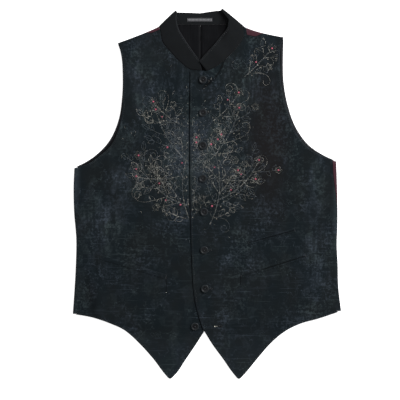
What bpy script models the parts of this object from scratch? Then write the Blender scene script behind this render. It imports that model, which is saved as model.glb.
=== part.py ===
"""A sleeveless waistcoat laid flat, face up, as real cloth pieces.

Seen from above, +Y runs to the collar and +Z points up. Left and right are the wearer's, so the left
front, which lies over the right one, is on the +X side. Lengths are in millimetres until a solid is made.
"""
import math
from collections import namedtuple

import bmesh
import bpy
from mathutils import Matrix, Vector
from mathutils.bvhtree import BVHTree

MM = 0.001

# Cloth walls and the gaps between them
SEAM_GAP = 0.3
BACK_THICK = 1.2
LINING_THICK = 1.2
FRONT_THICK = 1.8
COLLAR_THICK = 2.0
LABEL_THICK = 1.0
WELT_THICK = 1.3

# The garment is folded flat: a cloth turns over an edge on this outer radius
TURN_RADIUS = 2.5
HALF_TURN = math.pi * TURN_RADIUS
STACK_TOP = 2 * TURN_RADIUS
LINING_TOP = BACK_THICK + SEAM_GAP + LINING_THICK

# The left front rises over the edge of the right one
OVERLAP_RISE = FRONT_THICK + 0.5
OVERLAP_REACH = 10
OVERLAP_FALL = 20

# Below the back's hem the fronts sink to the surface
HEM_CLEAR = 8
HEM_FALL = 28

# Side and shoulder seams
RIGHT_SEAM_UNDER = 3.0
LEFT_SEAM_OVER = 4.4
LEFT_SEAM_LOW = 0.55 * HALF_TURN
LEFT_SEAM_TOP_Y = -60
LEFT_SEAM_LOW_Y = -105
SIDE_MARGIN = 6
LINING_SIDE_INSET = 5.0
LINING_ARM_INSET = 1.0
LINING_SHOULDER_INSET = 2.0

# Collar
COLLAR_GAP = 0.4
COLLAR_TOP_RADIUS = 4.5
COLLAR_END_LIFT = 2.5
COLLAR_CORNER_CLEAR = 1.5
COLLAR_COLUMNS = 4

CENTRE_BACK_X = -11.0
FRONT_COLUMNS = 16
FRONT_CROWDING = 1.35
BACK_COLUMNS = 9
LINING_COLUMNS = 6
TURN_STEPS = 6
SIDE_STEPS = 8
ABOVE_ALL = 100

UP = Vector((0, 0, 1))
DOWN = Vector((0, 0, -1))

# A section runs from a panel's inner edge (centre or neck) to its outer edge (hem, side or armhole).
# steps is the number of rows up to the next section, and corner names the edge that turns sharply there.
Section = namedtuple("Section", "inner_x inner_y outer_x outer_y steps corner", defaults=(1, ""))

RIGHT_FRONT = (
    Section(-66.5, -350.0, -72.5, -350.0, 1),
    Section(-59.0, -341.0, -79.5, -341.0, 2),
    Section(-41.0, -313.5, -99.5, -313.5, 2),
    Section(-23.0, -286.5, -123.5, -286.0, 1),
    Section(-12.5, -271.5, -140.0, -269.5, 1),
    Section(-5.0, -260.0, -156.0, -257.0, 1),
    Section(1.0, -240.5, -181.5, -245.5, 2),
    Section(5.0, -222.5, -214.0, -235.0, 2),
    Section(8.5, -209.0, -254.0, -227.5, 2, "outer"),
    Section(13.0, -178.5, -251.0, -186.0, 2),
    Section(16.0, -125.5, -248.0, -129.0, 2),
    Section(17.5, -83.5, -246.0, -87.5, 3),
    Section(18.5, -30.5, -250.5, -32.5, 3),
    Section(19.0, 26.5, -252.0, 17.0, 2),
    Section(19.0, 61.0, -251.0, 50.0, 1, "outer"),
    Section(19.0, 83.5, -228.0, 55.5, 2),
    Section(19.0, 102.5, -204.5, 70.5, 2),
    Section(19.0, 129.0, -181.5, 92.0, 2),
    Section(19.0, 159.5, -167.0, 123.5, 2),
    Section(19.0, 194.0, -159.5, 159.5, 2),
    Section(19.0, 232.0, -157.5, 201.5, 1, "inner"),
    Section(-8.5, 234.0, -158.0, 235.5, 2),
    Section(-31.5, 236.5, -160.0, 254.5, 2),
    Section(-50.5, 250.0, -162.0, 265.0, 2),
    Section(-67.5, 268.0, -163.5, 271.5, 2),
    Section(-84.0, 289.0, -164.5, 277.5, 2),
    Section(-88.5, 312.0, -166.0, 282.5, 1),
)

LEFT_FRONT = (
    Section(58.5, -350.0, 64.5, -350.0, 1),
    Section(50.5, -340.5, 73.0, -340.0, 2),
    Section(31.0, -311.5, 96.0, -311.5, 2),
    Section(11.0, -283.5, 121.5, -282.0, 1),
    Section(1.0, -268.0, 140.0, -266.5, 1),
    Section(-5.5, -258.5, 155.5, -255.5, 1),
    Section(-11.5, -242.0, 178.5, -244.5, 2),
    Section(-16.5, -226.0, 210.0, -235.0, 2),
    Section(-20.5, -209.0, 255.0, -220.0, 2, "outer"),
    Section(-25.0, -178.5, 250.0, -175.0, 2),
    Section(-27.5, -135.0, 248.0, -129.0, 2),
    Section(-29.0, -91.0, 246.5, -99.0, 3),
    Section(-30.5, -34.0, 248.0, -57.0, 3),
    Section(-31.5, 26.5, 248.0, 7.5, 2),
    Section(-31.5, 67.5, 245.0, 62.0, 1, "outer"),
    Section(-31.5, 89.5, 219.5, 70.5, 2),
    Section(-31.5, 112.0, 194.5, 85.5, 2),
    Section(-31.5, 140.5, 173.5, 109.5, 2),
    Section(-31.5, 171.0, 158.0, 142.5, 2),
    Section(-31.5, 201.5, 148.0, 175.0, 2),
    Section(-31.0, 232.0, 141.0, 213.0, 2, "inner"),
    Section(0.0, 233.5, 139.5, 243.0, 2),
    Section(16.0, 240.0, 139.0, 260.5, 2),
    Section(33.0, 252.5, 139.5, 271.5, 2),
    Section(50.0, 269.0, 140.5, 279.5, 2),
    Section(64.5, 287.0, 142.0, 286.0, 2),
    Section(71.5, 302.0, 144.0, 292.5, 1),
)

# Each half of the back ends at the line where it turns over the shoulder
RIGHT_BACK = (
    Section(-11.0, -235.5, -254.0, -227.5, 2, "outer"),
    Section(-11.0, -182.5, -251.0, -186.0, 2),
    Section(-11.0, -129.0, -248.0, -129.0, 2),
    Section(-11.0, -87.5, -246.0, -87.5, 3),
    Section(-11.0, -34.0, -250.5, -32.5, 3),
    Section(-11.0, 17.0, -252.0, 17.0, 2),
    Section(-11.0, 49.5, -251.0, 50.0, 1, "outer"),
    Section(-11.0, 72.0, -229.0, 59.0, 2),
    Section(-11.0, 93.0, -206.5, 75.5, 2),
    Section(-11.0, 131.0, -183.5, 102.0, 2),
    Section(-11.0, 178.5, -168.5, 137.0, 3),
    Section(-11.0, 235.5, -160.5, 186.0, 2),
    Section(-11.0, 283.0, -159.0, 228.0, 2),
    Section(-11.0, 320.0, -161.0, 259.5, 2, "inner"),
    Section(-50.5, 320.5, -164.5, 275.5, 2),
)

LEFT_BACK = (
    Section(-11.0, -235.5, 255.0, -220.0, 2, "outer"),
    Section(-11.0, -182.5, 250.0, -175.0, 2),
    Section(-11.0, -129.0, 248.0, -129.0, 2),
    Section(-11.0, -97.0, 246.5, -99.0, 3),
    Section(-11.0, -53.0, 248.0, -57.0, 3),
    Section(-11.0, 7.5, 248.0, 7.5, 2),
    Section(-11.0, 59.0, 245.0, 62.0, 1, "outer"),
    Section(-11.0, 80.0, 219.5, 73.0, 2),
    Section(-11.0, 102.5, 192.5, 92.5, 2),
    Section(-11.0, 140.5, 170.5, 123.5, 2),
    Section(-11.0, 188.0, 153.0, 171.0, 2),
    Section(-11.0, 243.0, 145.5, 216.5, 2),
    Section(-11.0, 289.0, 144.0, 254.5, 2),
    Section(-11.0, 320.0, 144.0, 275.5, 2, "inner"),
    Section(29.5, 320.5, 144.5, 286.0, 2),
)

# Folded edges seen from above: the shoulders, and the two sides of the stand collar
Fold = namedtuple("Fold", "start_x start_y end_x end_y")
RIGHT_SHOULDER = Fold(-90.5, 318.0, -167.5, 286.0)
LEFT_SHOULDER = Fold(72.0, 317.5, 145.0, 296.0)
RIGHT_COLLAR_FOLD = Fold(-91.0, 318.0, -60.0, 348.5)
LEFT_COLLAR_FOLD = Fold(72.0, 317.5, 31.0, 350.5)

# Top edge of the collar, a point for each neckline section of a front and of a half back
Top = namedtuple("Top", "x y")
RIGHT_ARM_TOP = (Top(-13.0, 252.5), Top(-21.5, 264.0), Top(-31.0, 277.5), Top(-43.5, 296.5), Top(-54.0, 315.5),
                 Top(-57.5, 333.0))
LEFT_ARM_TOP = (Top(-10.0, 253.0), Top(-1.0, 266.0), Top(12.0, 280.0), Top(26.0, 297.5), Top(39.5, 315.5),
                Top(42.0, 331.0))
COLLAR_CENTRE_TOP = Top(-12.5, 343.5)
RIGHT_BACK_TOP = Top(-37.0, 344.5)
LEFT_BACK_TOP = Top(10.5, 345.0)

# Soft folds of the fronts, each a ridge that rises from one end of its line and dies out at the other
Ridge = namedtuple("Ridge", "start_x start_y end_x end_y width height")
FRONT_RIDGES = (
    Ridge(-231.0, -150.0, -228.0, -245.0, 7.0, 2.2),
    Ridge(-200.0, -165.0, -204.0, -258.0, 9.0, 1.6),
    Ridge(-214.0, 46.0, -150.0, -20.0, 13.0, 2.2),
    Ridge(208.0, 50.0, 150.0, -30.0, 13.0, 2.2),
    Ridge(-105.0, 150.0, -122.0, -60.0, 20.0, 1.8),
    Ridge(98.0, 170.0, 118.0, -40.0, 20.0, 1.8),
    Ridge(-84.0, -175.0, -72.0, -335.0, 15.0, 1.6),
    Ridge(72.0, -175.0, 66.0, -335.0, 15.0, 1.6),
    Ridge(214.0, -140.0, 205.0, -240.0, 13.0, 1.6),
)
# Only the overlapping front has the ridge that drags from the collar to the first button
LEFT_DRAG_RIDGES = (
    Ridge(40.0, 232.0, -8.0, 186.0, 7.0, 2.0),
    Ridge(12.0, 240.0, -20.0, 205.0, 6.0, 1.2),
)

# Buttons: radius and height of the turned rim, then each one's place and the front it is sewn through
BUTTON_RADIUS = 7.5
BUTTON_PROFILE = ((6.2, 0.0), (7.5, 1.1), (7.5, 2.0), (6.7, 2.9), (5.5, 2.9), (4.8, 2.1))
BUTTON_SEGMENTS = 20
BUTTON_SEAT_GAP = 0.4
HOLE_RADIUS = 0.9
HOLE_SPACING = 1.7
HOLE_SEGMENTS = 8
DRILL_BOTTOM = -1
DRILL_TOP = 5
RIM_SHARP_ANGLE = 40
ButtonPlace = namedtuple("ButtonPlace", "x y front")
BUTTON_PLACES = (
    ButtonPlace(-7.0, 216.5, "left"),
    ButtonPlace(-7.0, 154.0, "left"),
    ButtonPlace(-7.0, 92.0, "left"),
    ButtonPlace(-7.0, 29.5, "left"),
    ButtonPlace(-4.5, -34.0, "left"),
    ButtonPlace(-4.5, -106.5, "left"),
    ButtonPlace(-3.0, -179.5, "left"),
    ButtonPlace(-22.0, -251.0, "right"),
)

# Pockets: the mouth's two ends and the width over both lips
Pocket = namedtuple("Pocket", "name front start_x start_y end_x end_y width")
POCKETS = (
    Pocket("pocket_left", "left", 65.5, -156.0, 189.0, -117.0, 9.0),
    Pocket("ticket_pocket", "left", 78.5, -93.0, 168.0, -68.5, 7.0),
    Pocket("pocket_right", "right", -76.5, -157.5, -202.5, -119.0, 9.0),
)
WELT_STEPS = 8
WELT_SEAT_GAP = 0.35
# Across a pocket: the share of the width, and how far the surface lies below the lips
WELT_ACROSS = ((0.0, 0.2), (0.15, 0.0), (0.42, 0.0), (0.5, 0.7), (0.58, 0.0), (0.85, 0.0), (1.0, 0.2))

LABEL_CENTRE = (-13.0, 330.5)
LABEL_SIZE = (48.0, 6.5)


def smooth_step(value):
    """0 below 0, 1 above 1, and a soft slope between."""
    value = min(max(value, 0.0), 1.0)
    return value * value * (3 - 2 * value)


def bell(value):
    return math.exp(-value * value)


class Cloth:
    """A sheet of four-sided faces, with the direction into its wall at every point."""

    def __init__(self):
        self.outer = []
        self.inward = []
        self.quads = []

    def point(self, place, inward):
        self.outer.append(Vector(place))
        self.inward.append(Vector(inward))
        return len(self.outer) - 1

    def weave(self, rows):
        """Faces between neighbouring rows of point numbers."""
        for row, following in zip(rows, rows[1:]):
            for a, b, c, d in zip(row, row[1:], following[1:], following):
                self.quads.append((a, b, c, d))

    def free_edges(self):
        """Edges that only one face uses, in that face's order."""
        used = {}
        for quad in self.quads:
            for start, end in zip(quad, quad[1:] + quad[:1]):
                used.setdefault(frozenset((start, end)), []).append((start, end))
        return [edges[0] for edges in used.values() if len(edges) == 1]

    def solid(self, name, thickness, material):
        """The closed wall between the outer face and the same face moved inward."""
        count = len(self.outer)
        inner = [place + into * thickness for place, into in zip(self.outer, self.inward)]
        faces = list(self.quads)
        faces += [tuple(count + i for i in reversed(quad)) for quad in self.quads]
        faces += [(end, start, count + start, count + end) for start, end in self.free_edges()]
        return closed_object(name, self.outer + inner, faces, material)


def closed_object(name, places, faces, material):
    """A named object in metres whose faces all point out."""
    mesh = bpy.data.meshes.new(name)
    work = bmesh.new()
    corners = [work.verts.new(Vector(place) * MM) for place in places]
    for face in faces:
        work.faces.new([corners[i] for i in face])
    bmesh.ops.recalc_face_normals(work, faces=work.faces[:])
    work.to_mesh(mesh)
    work.free()
    mesh.materials.append(material)
    made = bpy.data.objects.new(name, mesh)
    bpy.context.collection.objects.link(made)
    return made


def smooth_through(points, steps, corners):
    """Points along a smooth curve through the given ones, straight into each corner."""
    chords = [max((b - a).length, 0.001) for a, b in zip(points, points[1:])]
    slopes = [(b - a) / chord for a, b, chord in zip(points, points[1:], chords)]

    def tangent(i, ahead):
        if i == 0:
            return slopes[0]
        if i == len(slopes):
            return slopes[-1]
        if i in corners:
            return slopes[i] if ahead else slopes[i - 1]
        before, after = chords[i - 1], chords[i]
        return (slopes[i - 1] * after + slopes[i] * before) / (before + after)

    curve = []
    for i, chord in enumerate(chords):
        leave, arrive = tangent(i, True) * chord, tangent(i + 1, False) * chord
        for step in range(steps[i]):
            t = step / steps[i]
            curve.append(points[i] * (2 * t ** 3 - 3 * t ** 2 + 1) + leave * (t ** 3 - 2 * t ** 2 + t)
                         + points[i + 1] * (3 * t ** 2 - 2 * t ** 3) + arrive * (t ** 3 - t ** 2))
    curve.append(points[-1].copy())
    return curve


Rows = namedtuple("Rows", "inner outer marks side_first side_last neck_first")


def rows_through(sections):
    """The rows of a panel: its two edges, the row of each section, and where its side and neckline start."""
    steps = [section.steps for section in sections]
    marks = [sum(steps[:i]) for i in range(len(sections))]
    edges = {}
    corners = {}
    for edge in ("inner", "outer"):
        points = [Vector((getattr(s, edge + "_x"), getattr(s, edge + "_y"))) for s in sections]
        corners[edge] = [i for i, s in enumerate(sections) if s.corner == edge]
        edges[edge] = smooth_through(points, steps, corners[edge])
    side = [marks[i] for i in corners["outer"]]
    return Rows(edges["inner"], edges["outer"], marks, side[0], side[1], marks[corners["inner"][0]])


def turn_over(path):
    """Where a cloth is after the given path past the start of a half turn: how far out, how far round in
    height, and the direction into its wall as (out, height)."""
    angle = min(max(path / TURN_RADIUS, 0.0), math.pi)
    out = min(path, 0.0) + TURN_RADIUS * math.sin(angle) - max(path - HALF_TURN, 0.0)
    return out, TURN_RADIUS * (1 - math.cos(angle)), (-math.sin(angle), math.cos(angle))


def fold_frame(fold, outward_from):
    """A fold's direction and the direction out of the garment across it."""
    along = Vector((fold.end_x - fold.start_x, fold.end_y - fold.start_y)).normalized()
    out = Vector((-along.y, along.x))
    if out.dot(Vector((fold.start_x, fold.start_y)) - Vector(outward_from)) < 0:
        out = -out
    return along, out


# Heights of the two fronts


def hem_y(x):
    """The back's hem under the fronts."""
    side = LEFT_BACK[0] if x > CENTRE_BACK_X else RIGHT_BACK[0]
    share = (x - side.inner_x) / (side.outer_x - side.inner_x)
    return side.inner_y + share * (side.outer_y - side.inner_y)


def ridge_height(ridges, x, y):
    """Height of the soft folds at a place."""
    height = 0.0
    for ridge in ridges:
        start = Vector((ridge.start_x, ridge.start_y))
        line = Vector((ridge.end_x, ridge.end_y)) - start
        away = Vector((x, y)) - start
        along = away.dot(line) / line.length_squared
        if 0 < along < 1:
            across = away.cross(line) / line.length
            height += ridge.height * math.sin(math.pi * along) ** 2 * bell(across / ridge.width)
    return height


def right_front_height(x, y):
    """Outer face of the front that lies on the back, or on the surface below the back's hem."""
    sunk = smooth_step((hem_y(x) - y - HEM_CLEAR) / HEM_FALL)
    return STACK_TOP - sunk * (STACK_TOP - FRONT_THICK) + ridge_height(FRONT_RIDGES, x, y)


def left_front_height_over(under_rows):
    """The left front's height, raised where the right front lies under it."""
    edge = under_rows.inner[:under_rows.neck_first + 1]

    def under_edge_x(y):
        for low, high in zip(edge, edge[1:]):
            if low.y <= y <= high.y:
                return low.x + (high.x - low.x) * (y - low.y) / (high.y - low.y)
        return edge[0].x if y < edge[0].y else edge[-1].x

    def height(x, y):
        past = (x - under_edge_x(y) - OVERLAP_REACH) / OVERLAP_FALL
        rise = OVERLAP_RISE * (1 - smooth_step(past))
        return right_front_height(x, y) + rise + ridge_height(LEFT_DRAG_RIDGES, x, y)

    return height


# Seams at the two sides, as the path of each cloth past the start of its half turn


def left_back_path(y):
    """The back comes over the left side to a seam on top, which slides onto the side lower down."""
    over = smooth_step((y - LEFT_SEAM_LOW_Y) / (LEFT_SEAM_TOP_Y - LEFT_SEAM_LOW_Y))
    return LEFT_SEAM_LOW + over * (HALF_TURN + LEFT_SEAM_OVER - LEFT_SEAM_LOW)


def left_front_path(y):
    return HALF_TURN - left_back_path(y) - SEAM_GAP


def right_front_path(y):
    return HALF_TURN + RIGHT_SEAM_UNDER


def right_back_path(y):
    return -RIGHT_SEAM_UNDER - SEAM_GAP


# Panels


def front_panel(rows, side, height, path):
    """A front: a main grid, and the strip of it that turns down over the side."""
    cloth = Cloth()
    shares = [(i / FRONT_COLUMNS) ** FRONT_CROWDING for i in range(FRONT_COLUMNS + 1)]
    grid = []
    for i, (inner, outer) in enumerate(zip(rows.inner, rows.outer)):
        edge = outer.copy()
        if rows.side_first <= i <= rows.side_last:
            edge.x -= side * (TURN_RADIUS + SIDE_MARGIN)
        places = [inner.lerp(edge, share) for share in shares]
        grid.append([cloth.point((p.x, p.y, height(p.x, p.y)), DOWN) for p in places])
    cloth.weave(grid)
    strip = []
    for i in range(rows.side_first, rows.side_last + 1):
        outer = rows.outer[i]
        reach = SIDE_MARGIN + path(outer.y)
        line = [grid[i][-1]]
        for step in range(1, SIDE_STEPS + 1):
            out, drop, into = turn_over(reach * step / SIDE_STEPS - SIDE_MARGIN)
            place = (outer.x + side * (out - TURN_RADIUS), outer.y, STACK_TOP - drop)
            line.append(cloth.point(place, (side * into[0], 0, -into[1])))
        strip.append(line)
    cloth.weave(strip)
    return cloth


def back_rows(sections, fold):
    """A half back's rows, the last one where the cloth starts to turn over the shoulder."""
    out = fold_frame(fold, (CENTRE_BACK_X, 0))[1] * TURN_RADIUS
    last = Section(fold.start_x - out.x, fold.start_y - out.y, fold.end_x - out.x, fold.end_y - out.y)
    return rows_through(sections + (last,))


def back_panel(rows, side, path, fold, front_rows):
    """A half back: its main grid, the strip that turns up over a side, and the flap over the shoulder."""
    cloth = Cloth()
    grid = []
    for i, (inner, outer) in enumerate(zip(rows.inner, rows.outer)):
        start, edge = inner.copy(), outer.copy()
        if i <= rows.neck_first:
            start.x += side * SEAM_GAP / 2
        if rows.side_first <= i <= rows.side_last:
            edge.x += side * (min(path(outer.y), 0) - TURN_RADIUS)
        places = [start.lerp(edge, j / BACK_COLUMNS) for j in range(BACK_COLUMNS + 1)]
        grid.append([cloth.point((p.x, p.y, 0), UP) for p in places])
    cloth.weave(grid)
    strip = []
    for i in range(rows.side_first, rows.side_last + 1):
        outer = rows.outer[i]
        reach = path(outer.y)
        if reach > 0:
            line = [grid[i][-1]]
            for step in range(1, SIDE_STEPS + 1):
                out, rise, into = turn_over(reach * step / SIDE_STEPS)
                place = (outer.x + side * (out - TURN_RADIUS), outer.y, rise)
                line.append(cloth.point(place, (side * into[0], 0, into[1])))
            strip.append(line)
    cloth.weave(strip)
    out = fold_frame(fold, (CENTRE_BACK_X, 0))[1]
    flap = [grid[-1]]
    for step in range(1, TURN_STEPS + 1):
        reach, rise, into = turn_over(HALF_TURN * step / TURN_STEPS)
        line = []
        for number in grid[-1]:
            base = cloth.outer[number].xy
            place = base + out * reach
            line.append(cloth.point((place.x, place.y, rise), (out.x * into[0], out.y * into[0], into[1])))
        flap.append(line)
    seam_start = front_rows.inner[-1] + out * SEAM_GAP
    seam_end = front_rows.outer[-1] + out * SEAM_GAP
    line = []
    for j in range(BACK_COLUMNS + 1):
        place = seam_start.lerp(seam_end, j / BACK_COLUMNS)
        line.append(cloth.point((place.x, place.y, STACK_TOP), DOWN))
    flap.append(line)
    cloth.weave(flap)
    return cloth


def lining_panel(rows, side, fold):
    """A half of the lining: the half back again, a little smaller and one layer up."""
    cloth = Cloth()
    out = fold_frame(fold, (CENTRE_BACK_X, 0))[1]
    grid = []
    last = len(rows.inner) - 1
    for i, (inner, outer) in enumerate(zip(rows.inner, rows.outer)):
        start, edge = inner.copy(), outer.copy()
        if i <= rows.neck_first:
            start.x += side * SEAM_GAP / 2
        if rows.side_first <= i <= rows.side_last:
            edge.x -= side * (TURN_RADIUS + LINING_SIDE_INSET)
        elif i < last:
            edge += (start - edge).normalized() * LINING_ARM_INSET
        else:
            start -= out * LINING_SHOULDER_INSET
            edge -= out * LINING_SHOULDER_INSET
        places = [start.lerp(edge, j / LINING_COLUMNS) for j in range(LINING_COLUMNS + 1)]
        grid.append([cloth.point((p.x, p.y, LINING_TOP), DOWN) for p in places])
    cloth.weave(grid)
    return cloth


# Collar


def collar_row(cloth, seam, top, seam_z, top_z, into):
    """One row across the collar, from its seam to its top edge, with a soft roll between."""
    line = []
    for j in range(COLLAR_COLUMNS + 1):
        share = j / COLLAR_COLUMNS
        place = seam.lerp(top, share)
        height = seam_z + (top_z - seam_z) * math.sin(share * math.pi / 2)
        line.append(cloth.point((place.x, place.y, height), into))
    return line


def collar_arm(cloth, front, height, tops):
    """The rows along a front's neckline, from the centre front to the shoulder."""
    marks = front.marks[-len(tops):]
    first = marks[0]
    steps = [b - a for a, b in zip(marks, marks[1:])]
    top_edge = smooth_through([Vector(top) for top in tops], steps, ())
    lines = []
    for i, (edge, top) in enumerate(zip(front.inner[first:], top_edge)):
        seam = edge + (top - edge).normalized() * COLLAR_GAP
        share = i / (len(top_edge) - 1)
        lift = COLLAR_END_LIFT + share * (2 * COLLAR_TOP_RADIUS - STACK_TOP - COLLAR_END_LIFT)
        seam_z = height(edge.x, edge.y)
        lines.append(collar_row(cloth, seam, top, seam_z, seam_z + lift, DOWN))
    return lines


def collar_turn(cloth, fold):
    """The rows of a half turn at the side of the neck, from the arm down to the back."""
    along, out = fold_frame(fold, (CENTRE_BACK_X, 0))
    seam = Vector((fold.start_x, fold.start_y)) + along * COLLAR_CORNER_CLEAR - out * TURN_RADIUS
    top = Vector((fold.end_x, fold.end_y)) - out * COLLAR_TOP_RADIUS
    lines = []
    for step in range(TURN_STEPS + 1):
        angle = math.pi * step / TURN_STEPS
        line = []
        for j in range(COLLAR_COLUMNS + 1):
            share = j / COLLAR_COLUMNS
            radius = TURN_RADIUS + (COLLAR_TOP_RADIUS - TURN_RADIUS) * math.sin(share * math.pi / 2)
            place = seam.lerp(top, share) + out * radius * math.sin(angle)
            into = (-out.x * math.sin(angle), -out.y * math.sin(angle), -math.cos(angle))
            line.append(cloth.point((place.x, place.y, radius * (1 + math.cos(angle))), into))
        lines.append(line)
    return lines


def collar_back(cloth, rows, back_top, fold):
    """The rows along half of the back neck, from the centre back to the side of the neck."""
    out = fold_frame(fold, (CENTRE_BACK_X, 0))[1] * COLLAR_TOP_RADIUS
    tops = [Vector(COLLAR_CENTRE_TOP), Vector(back_top), Vector((fold.end_x - out.x, fold.end_y - out.y))]
    neck_marks = rows.marks[-len(tops):]
    steps = [b - a for a, b in zip(neck_marks, neck_marks[1:])]
    top_edge = smooth_through(tops, steps, ())
    lines = []
    for edge, top in list(zip(rows.inner[rows.neck_first:], top_edge))[:-1]:
        seam = edge + Vector((0, COLLAR_GAP))
        lines.append(collar_row(cloth, seam, top, 0, 0, UP))
    return lines


def collar_band(fronts, heights, backs):
    """The whole stand collar, from the right end round the back of the neck to the left end."""
    cloth = Cloth()
    right_arm = collar_arm(cloth, fronts["right"], heights["right"], RIGHT_ARM_TOP)
    left_arm = collar_arm(cloth, fronts["left"], heights["left"], LEFT_ARM_TOP)
    right_turn = collar_turn(cloth, RIGHT_COLLAR_FOLD)
    left_turn = collar_turn(cloth, LEFT_COLLAR_FOLD)
    right_half = collar_back(cloth, backs["right"], RIGHT_BACK_TOP, RIGHT_COLLAR_FOLD)
    left_half = collar_back(cloth, backs["left"], LEFT_BACK_TOP, LEFT_COLLAR_FOLD)
    band = right_arm + right_turn + right_half[::-1] + left_half[1:] + left_turn[::-1] + left_arm[::-1]
    cloth.weave(band)
    return cloth


# Small pieces that lie on a panel


def surface_of(cloth):
    """The panel's outer face, ready to be felt from above."""
    return BVHTree.FromPolygons(cloth.outer, cloth.quads)


def height_on(surface, x, y):
    return surface.ray_cast(Vector((x, y, ABOVE_ALL)), DOWN)[0].z


def welt(pocket, surface):
    """Both lips of a pocket, laid along its mouth on the front's own points."""
    start = Vector((pocket.start_x, pocket.start_y))
    end = Vector((pocket.end_x, pocket.end_y))
    across = Vector((start.y - end.y, end.x - start.x)).normalized() * pocket.width
    cloth = Cloth()
    grid = []
    for step in range(WELT_STEPS + 1):
        line = []
        for share, dip in WELT_ACROSS:
            place = start.lerp(end, step / WELT_STEPS) + across * (share - 0.5)
            seat = height_on(surface, place.x, place.y) + WELT_SEAT_GAP
            line.append((cloth.point((place.x, place.y, seat), UP), WELT_THICK - dip))
        grid.append(line)
    cloth.weave([[number for number, _ in line] for line in grid])
    for line in grid:
        for number, thickness in line:
            cloth.inward[number] = UP * thickness
    return cloth


def button_mesh(material):
    """A four-hole button, turned about its axis and drilled, shared by all eight."""
    places = [(0, 0, BUTTON_PROFILE[0][1])]
    for radius, height in BUTTON_PROFILE:
        for i in range(BUTTON_SEGMENTS):
            angle = 2 * math.pi * i / BUTTON_SEGMENTS
            places.append((radius * math.cos(angle), radius * math.sin(angle), height))
    places.append((0, 0, BUTTON_PROFILE[-1][1]))
    faces = []
    for i in range(BUTTON_SEGMENTS):
        following = (i + 1) % BUTTON_SEGMENTS
        faces.append((0, 1 + following, 1 + i))
        for ring in range(len(BUTTON_PROFILE) - 1):
            low, high = 1 + ring * BUTTON_SEGMENTS, 1 + (ring + 1) * BUTTON_SEGMENTS
            faces.append((low + i, low + following, high + following, high + i))
        top = 1 + (len(BUTTON_PROFILE) - 1) * BUTTON_SEGMENTS
        faces.append((top + i, top + following, len(places) - 1))
    blank = closed_object("button_blank", places, faces, material)
    drill = closed_object("button_drill", *drill_shape(), material)
    cut = blank.modifiers.new("holes", "BOOLEAN")
    cut.operation = "DIFFERENCE"
    cut.object = drill
    drilled = bpy.data.meshes.new_from_object(blank.evaluated_get(bpy.context.evaluated_depsgraph_get()))
    bpy.data.objects.remove(blank)
    bpy.data.objects.remove(drill)
    drilled.shade_smooth()
    drilled.set_sharp_from_angle(angle=math.radians(RIM_SHARP_ANGLE))
    return drilled


def drill_shape():
    """Places and faces of the four pins that cut a button's holes."""
    places, faces = [], []
    for corner in range(4):
        turn = math.pi * (corner + 0.5) / 2
        centre = Vector((math.cos(turn), math.sin(turn))) * HOLE_SPACING
        first = len(places)
        for height in (DRILL_BOTTOM, DRILL_TOP):
            for i in range(HOLE_SEGMENTS):
                angle = 2 * math.pi * i / HOLE_SEGMENTS
                places.append((centre.x + HOLE_RADIUS * math.cos(angle), centre.y + HOLE_RADIUS * math.sin(angle),
                               height))
        for i in range(HOLE_SEGMENTS):
            following = (i + 1) % HOLE_SEGMENTS
            faces.append((first + i, first + following, first + HOLE_SEGMENTS + following,
                          first + HOLE_SEGMENTS + i))
        faces.append(tuple(first + i for i in reversed(range(HOLE_SEGMENTS))))
        faces.append(tuple(first + HOLE_SEGMENTS + i for i in range(HOLE_SEGMENTS)))
    return places, faces


def seat_button(name, mesh, place, surface):
    """A button laid on its front, tilted as the cloth is there."""
    heights = {}
    for step_x in (-1, 0, 1):
        for step_y in (-1, 0, 1):
            heights[step_x, step_y] = height_on(surface, place.x + step_x * BUTTON_RADIUS,
                                                place.y + step_y * BUTTON_RADIUS)
    slope_x = (heights[1, 0] - heights[-1, 0]) / (2 * BUTTON_RADIUS)
    slope_y = (heights[0, 1] - heights[0, -1]) / (2 * BUTTON_RADIUS)
    proud = max(height - (step_x * slope_x + step_y * slope_y) * BUTTON_RADIUS
                for (step_x, step_y), height in heights.items())
    tilt = UP.rotation_difference(Vector((-slope_x, -slope_y, 1)))
    made = bpy.data.objects.new(name, mesh)
    bpy.context.collection.objects.link(made)
    centre = Vector((place.x, place.y, proud + BUTTON_SEAT_GAP)) * MM
    made.matrix_world = Matrix.Translation(centre) @ tilt.to_matrix().to_4x4()
    return made


def label_strip(material):
    """The woven strip inside the back of the collar."""
    bottom = COLLAR_THICK + SEAM_GAP
    cloth = Cloth()
    grid = []
    for y in (-0.5, 0.5):
        line = []
        for x in (-0.5, 0.0, 0.5):
            place = (LABEL_CENTRE[0] + x * LABEL_SIZE[0], LABEL_CENTRE[1] + y * LABEL_SIZE[1], bottom)
            line.append(cloth.point(place, UP))
        grid.append(line)
    cloth.weave(grid)
    return cloth.solid("label", LABEL_THICK, material)


def finish(name, colour, roughness, metallic=0.0):
    made = bpy.data.materials.new(name)
    made.use_nodes = True
    shader = made.node_tree.nodes["Principled BSDF"]
    shader.inputs["Base Color"].default_value = (*colour, 1)
    shader.inputs["Roughness"].default_value = roughness
    shader.inputs["Metallic"].default_value = metallic
    return made


def centre_on_origin(objects):
    """Move everything so that the origin is under the middle of the garment's box."""
    bpy.context.view_layer.update()
    corners = [made.matrix_world @ corner.co for made in objects for corner in made.data.vertices]
    low = Vector([min(corner[axis] for corner in corners) for axis in range(3)])
    high = Vector([max(corner[axis] for corner in corners) for axis in range(3)])
    shift = Vector(((low.x + high.x) / 2, (low.y + high.y) / 2, low.z))
    for made in objects:
        made.location -= shift


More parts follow.
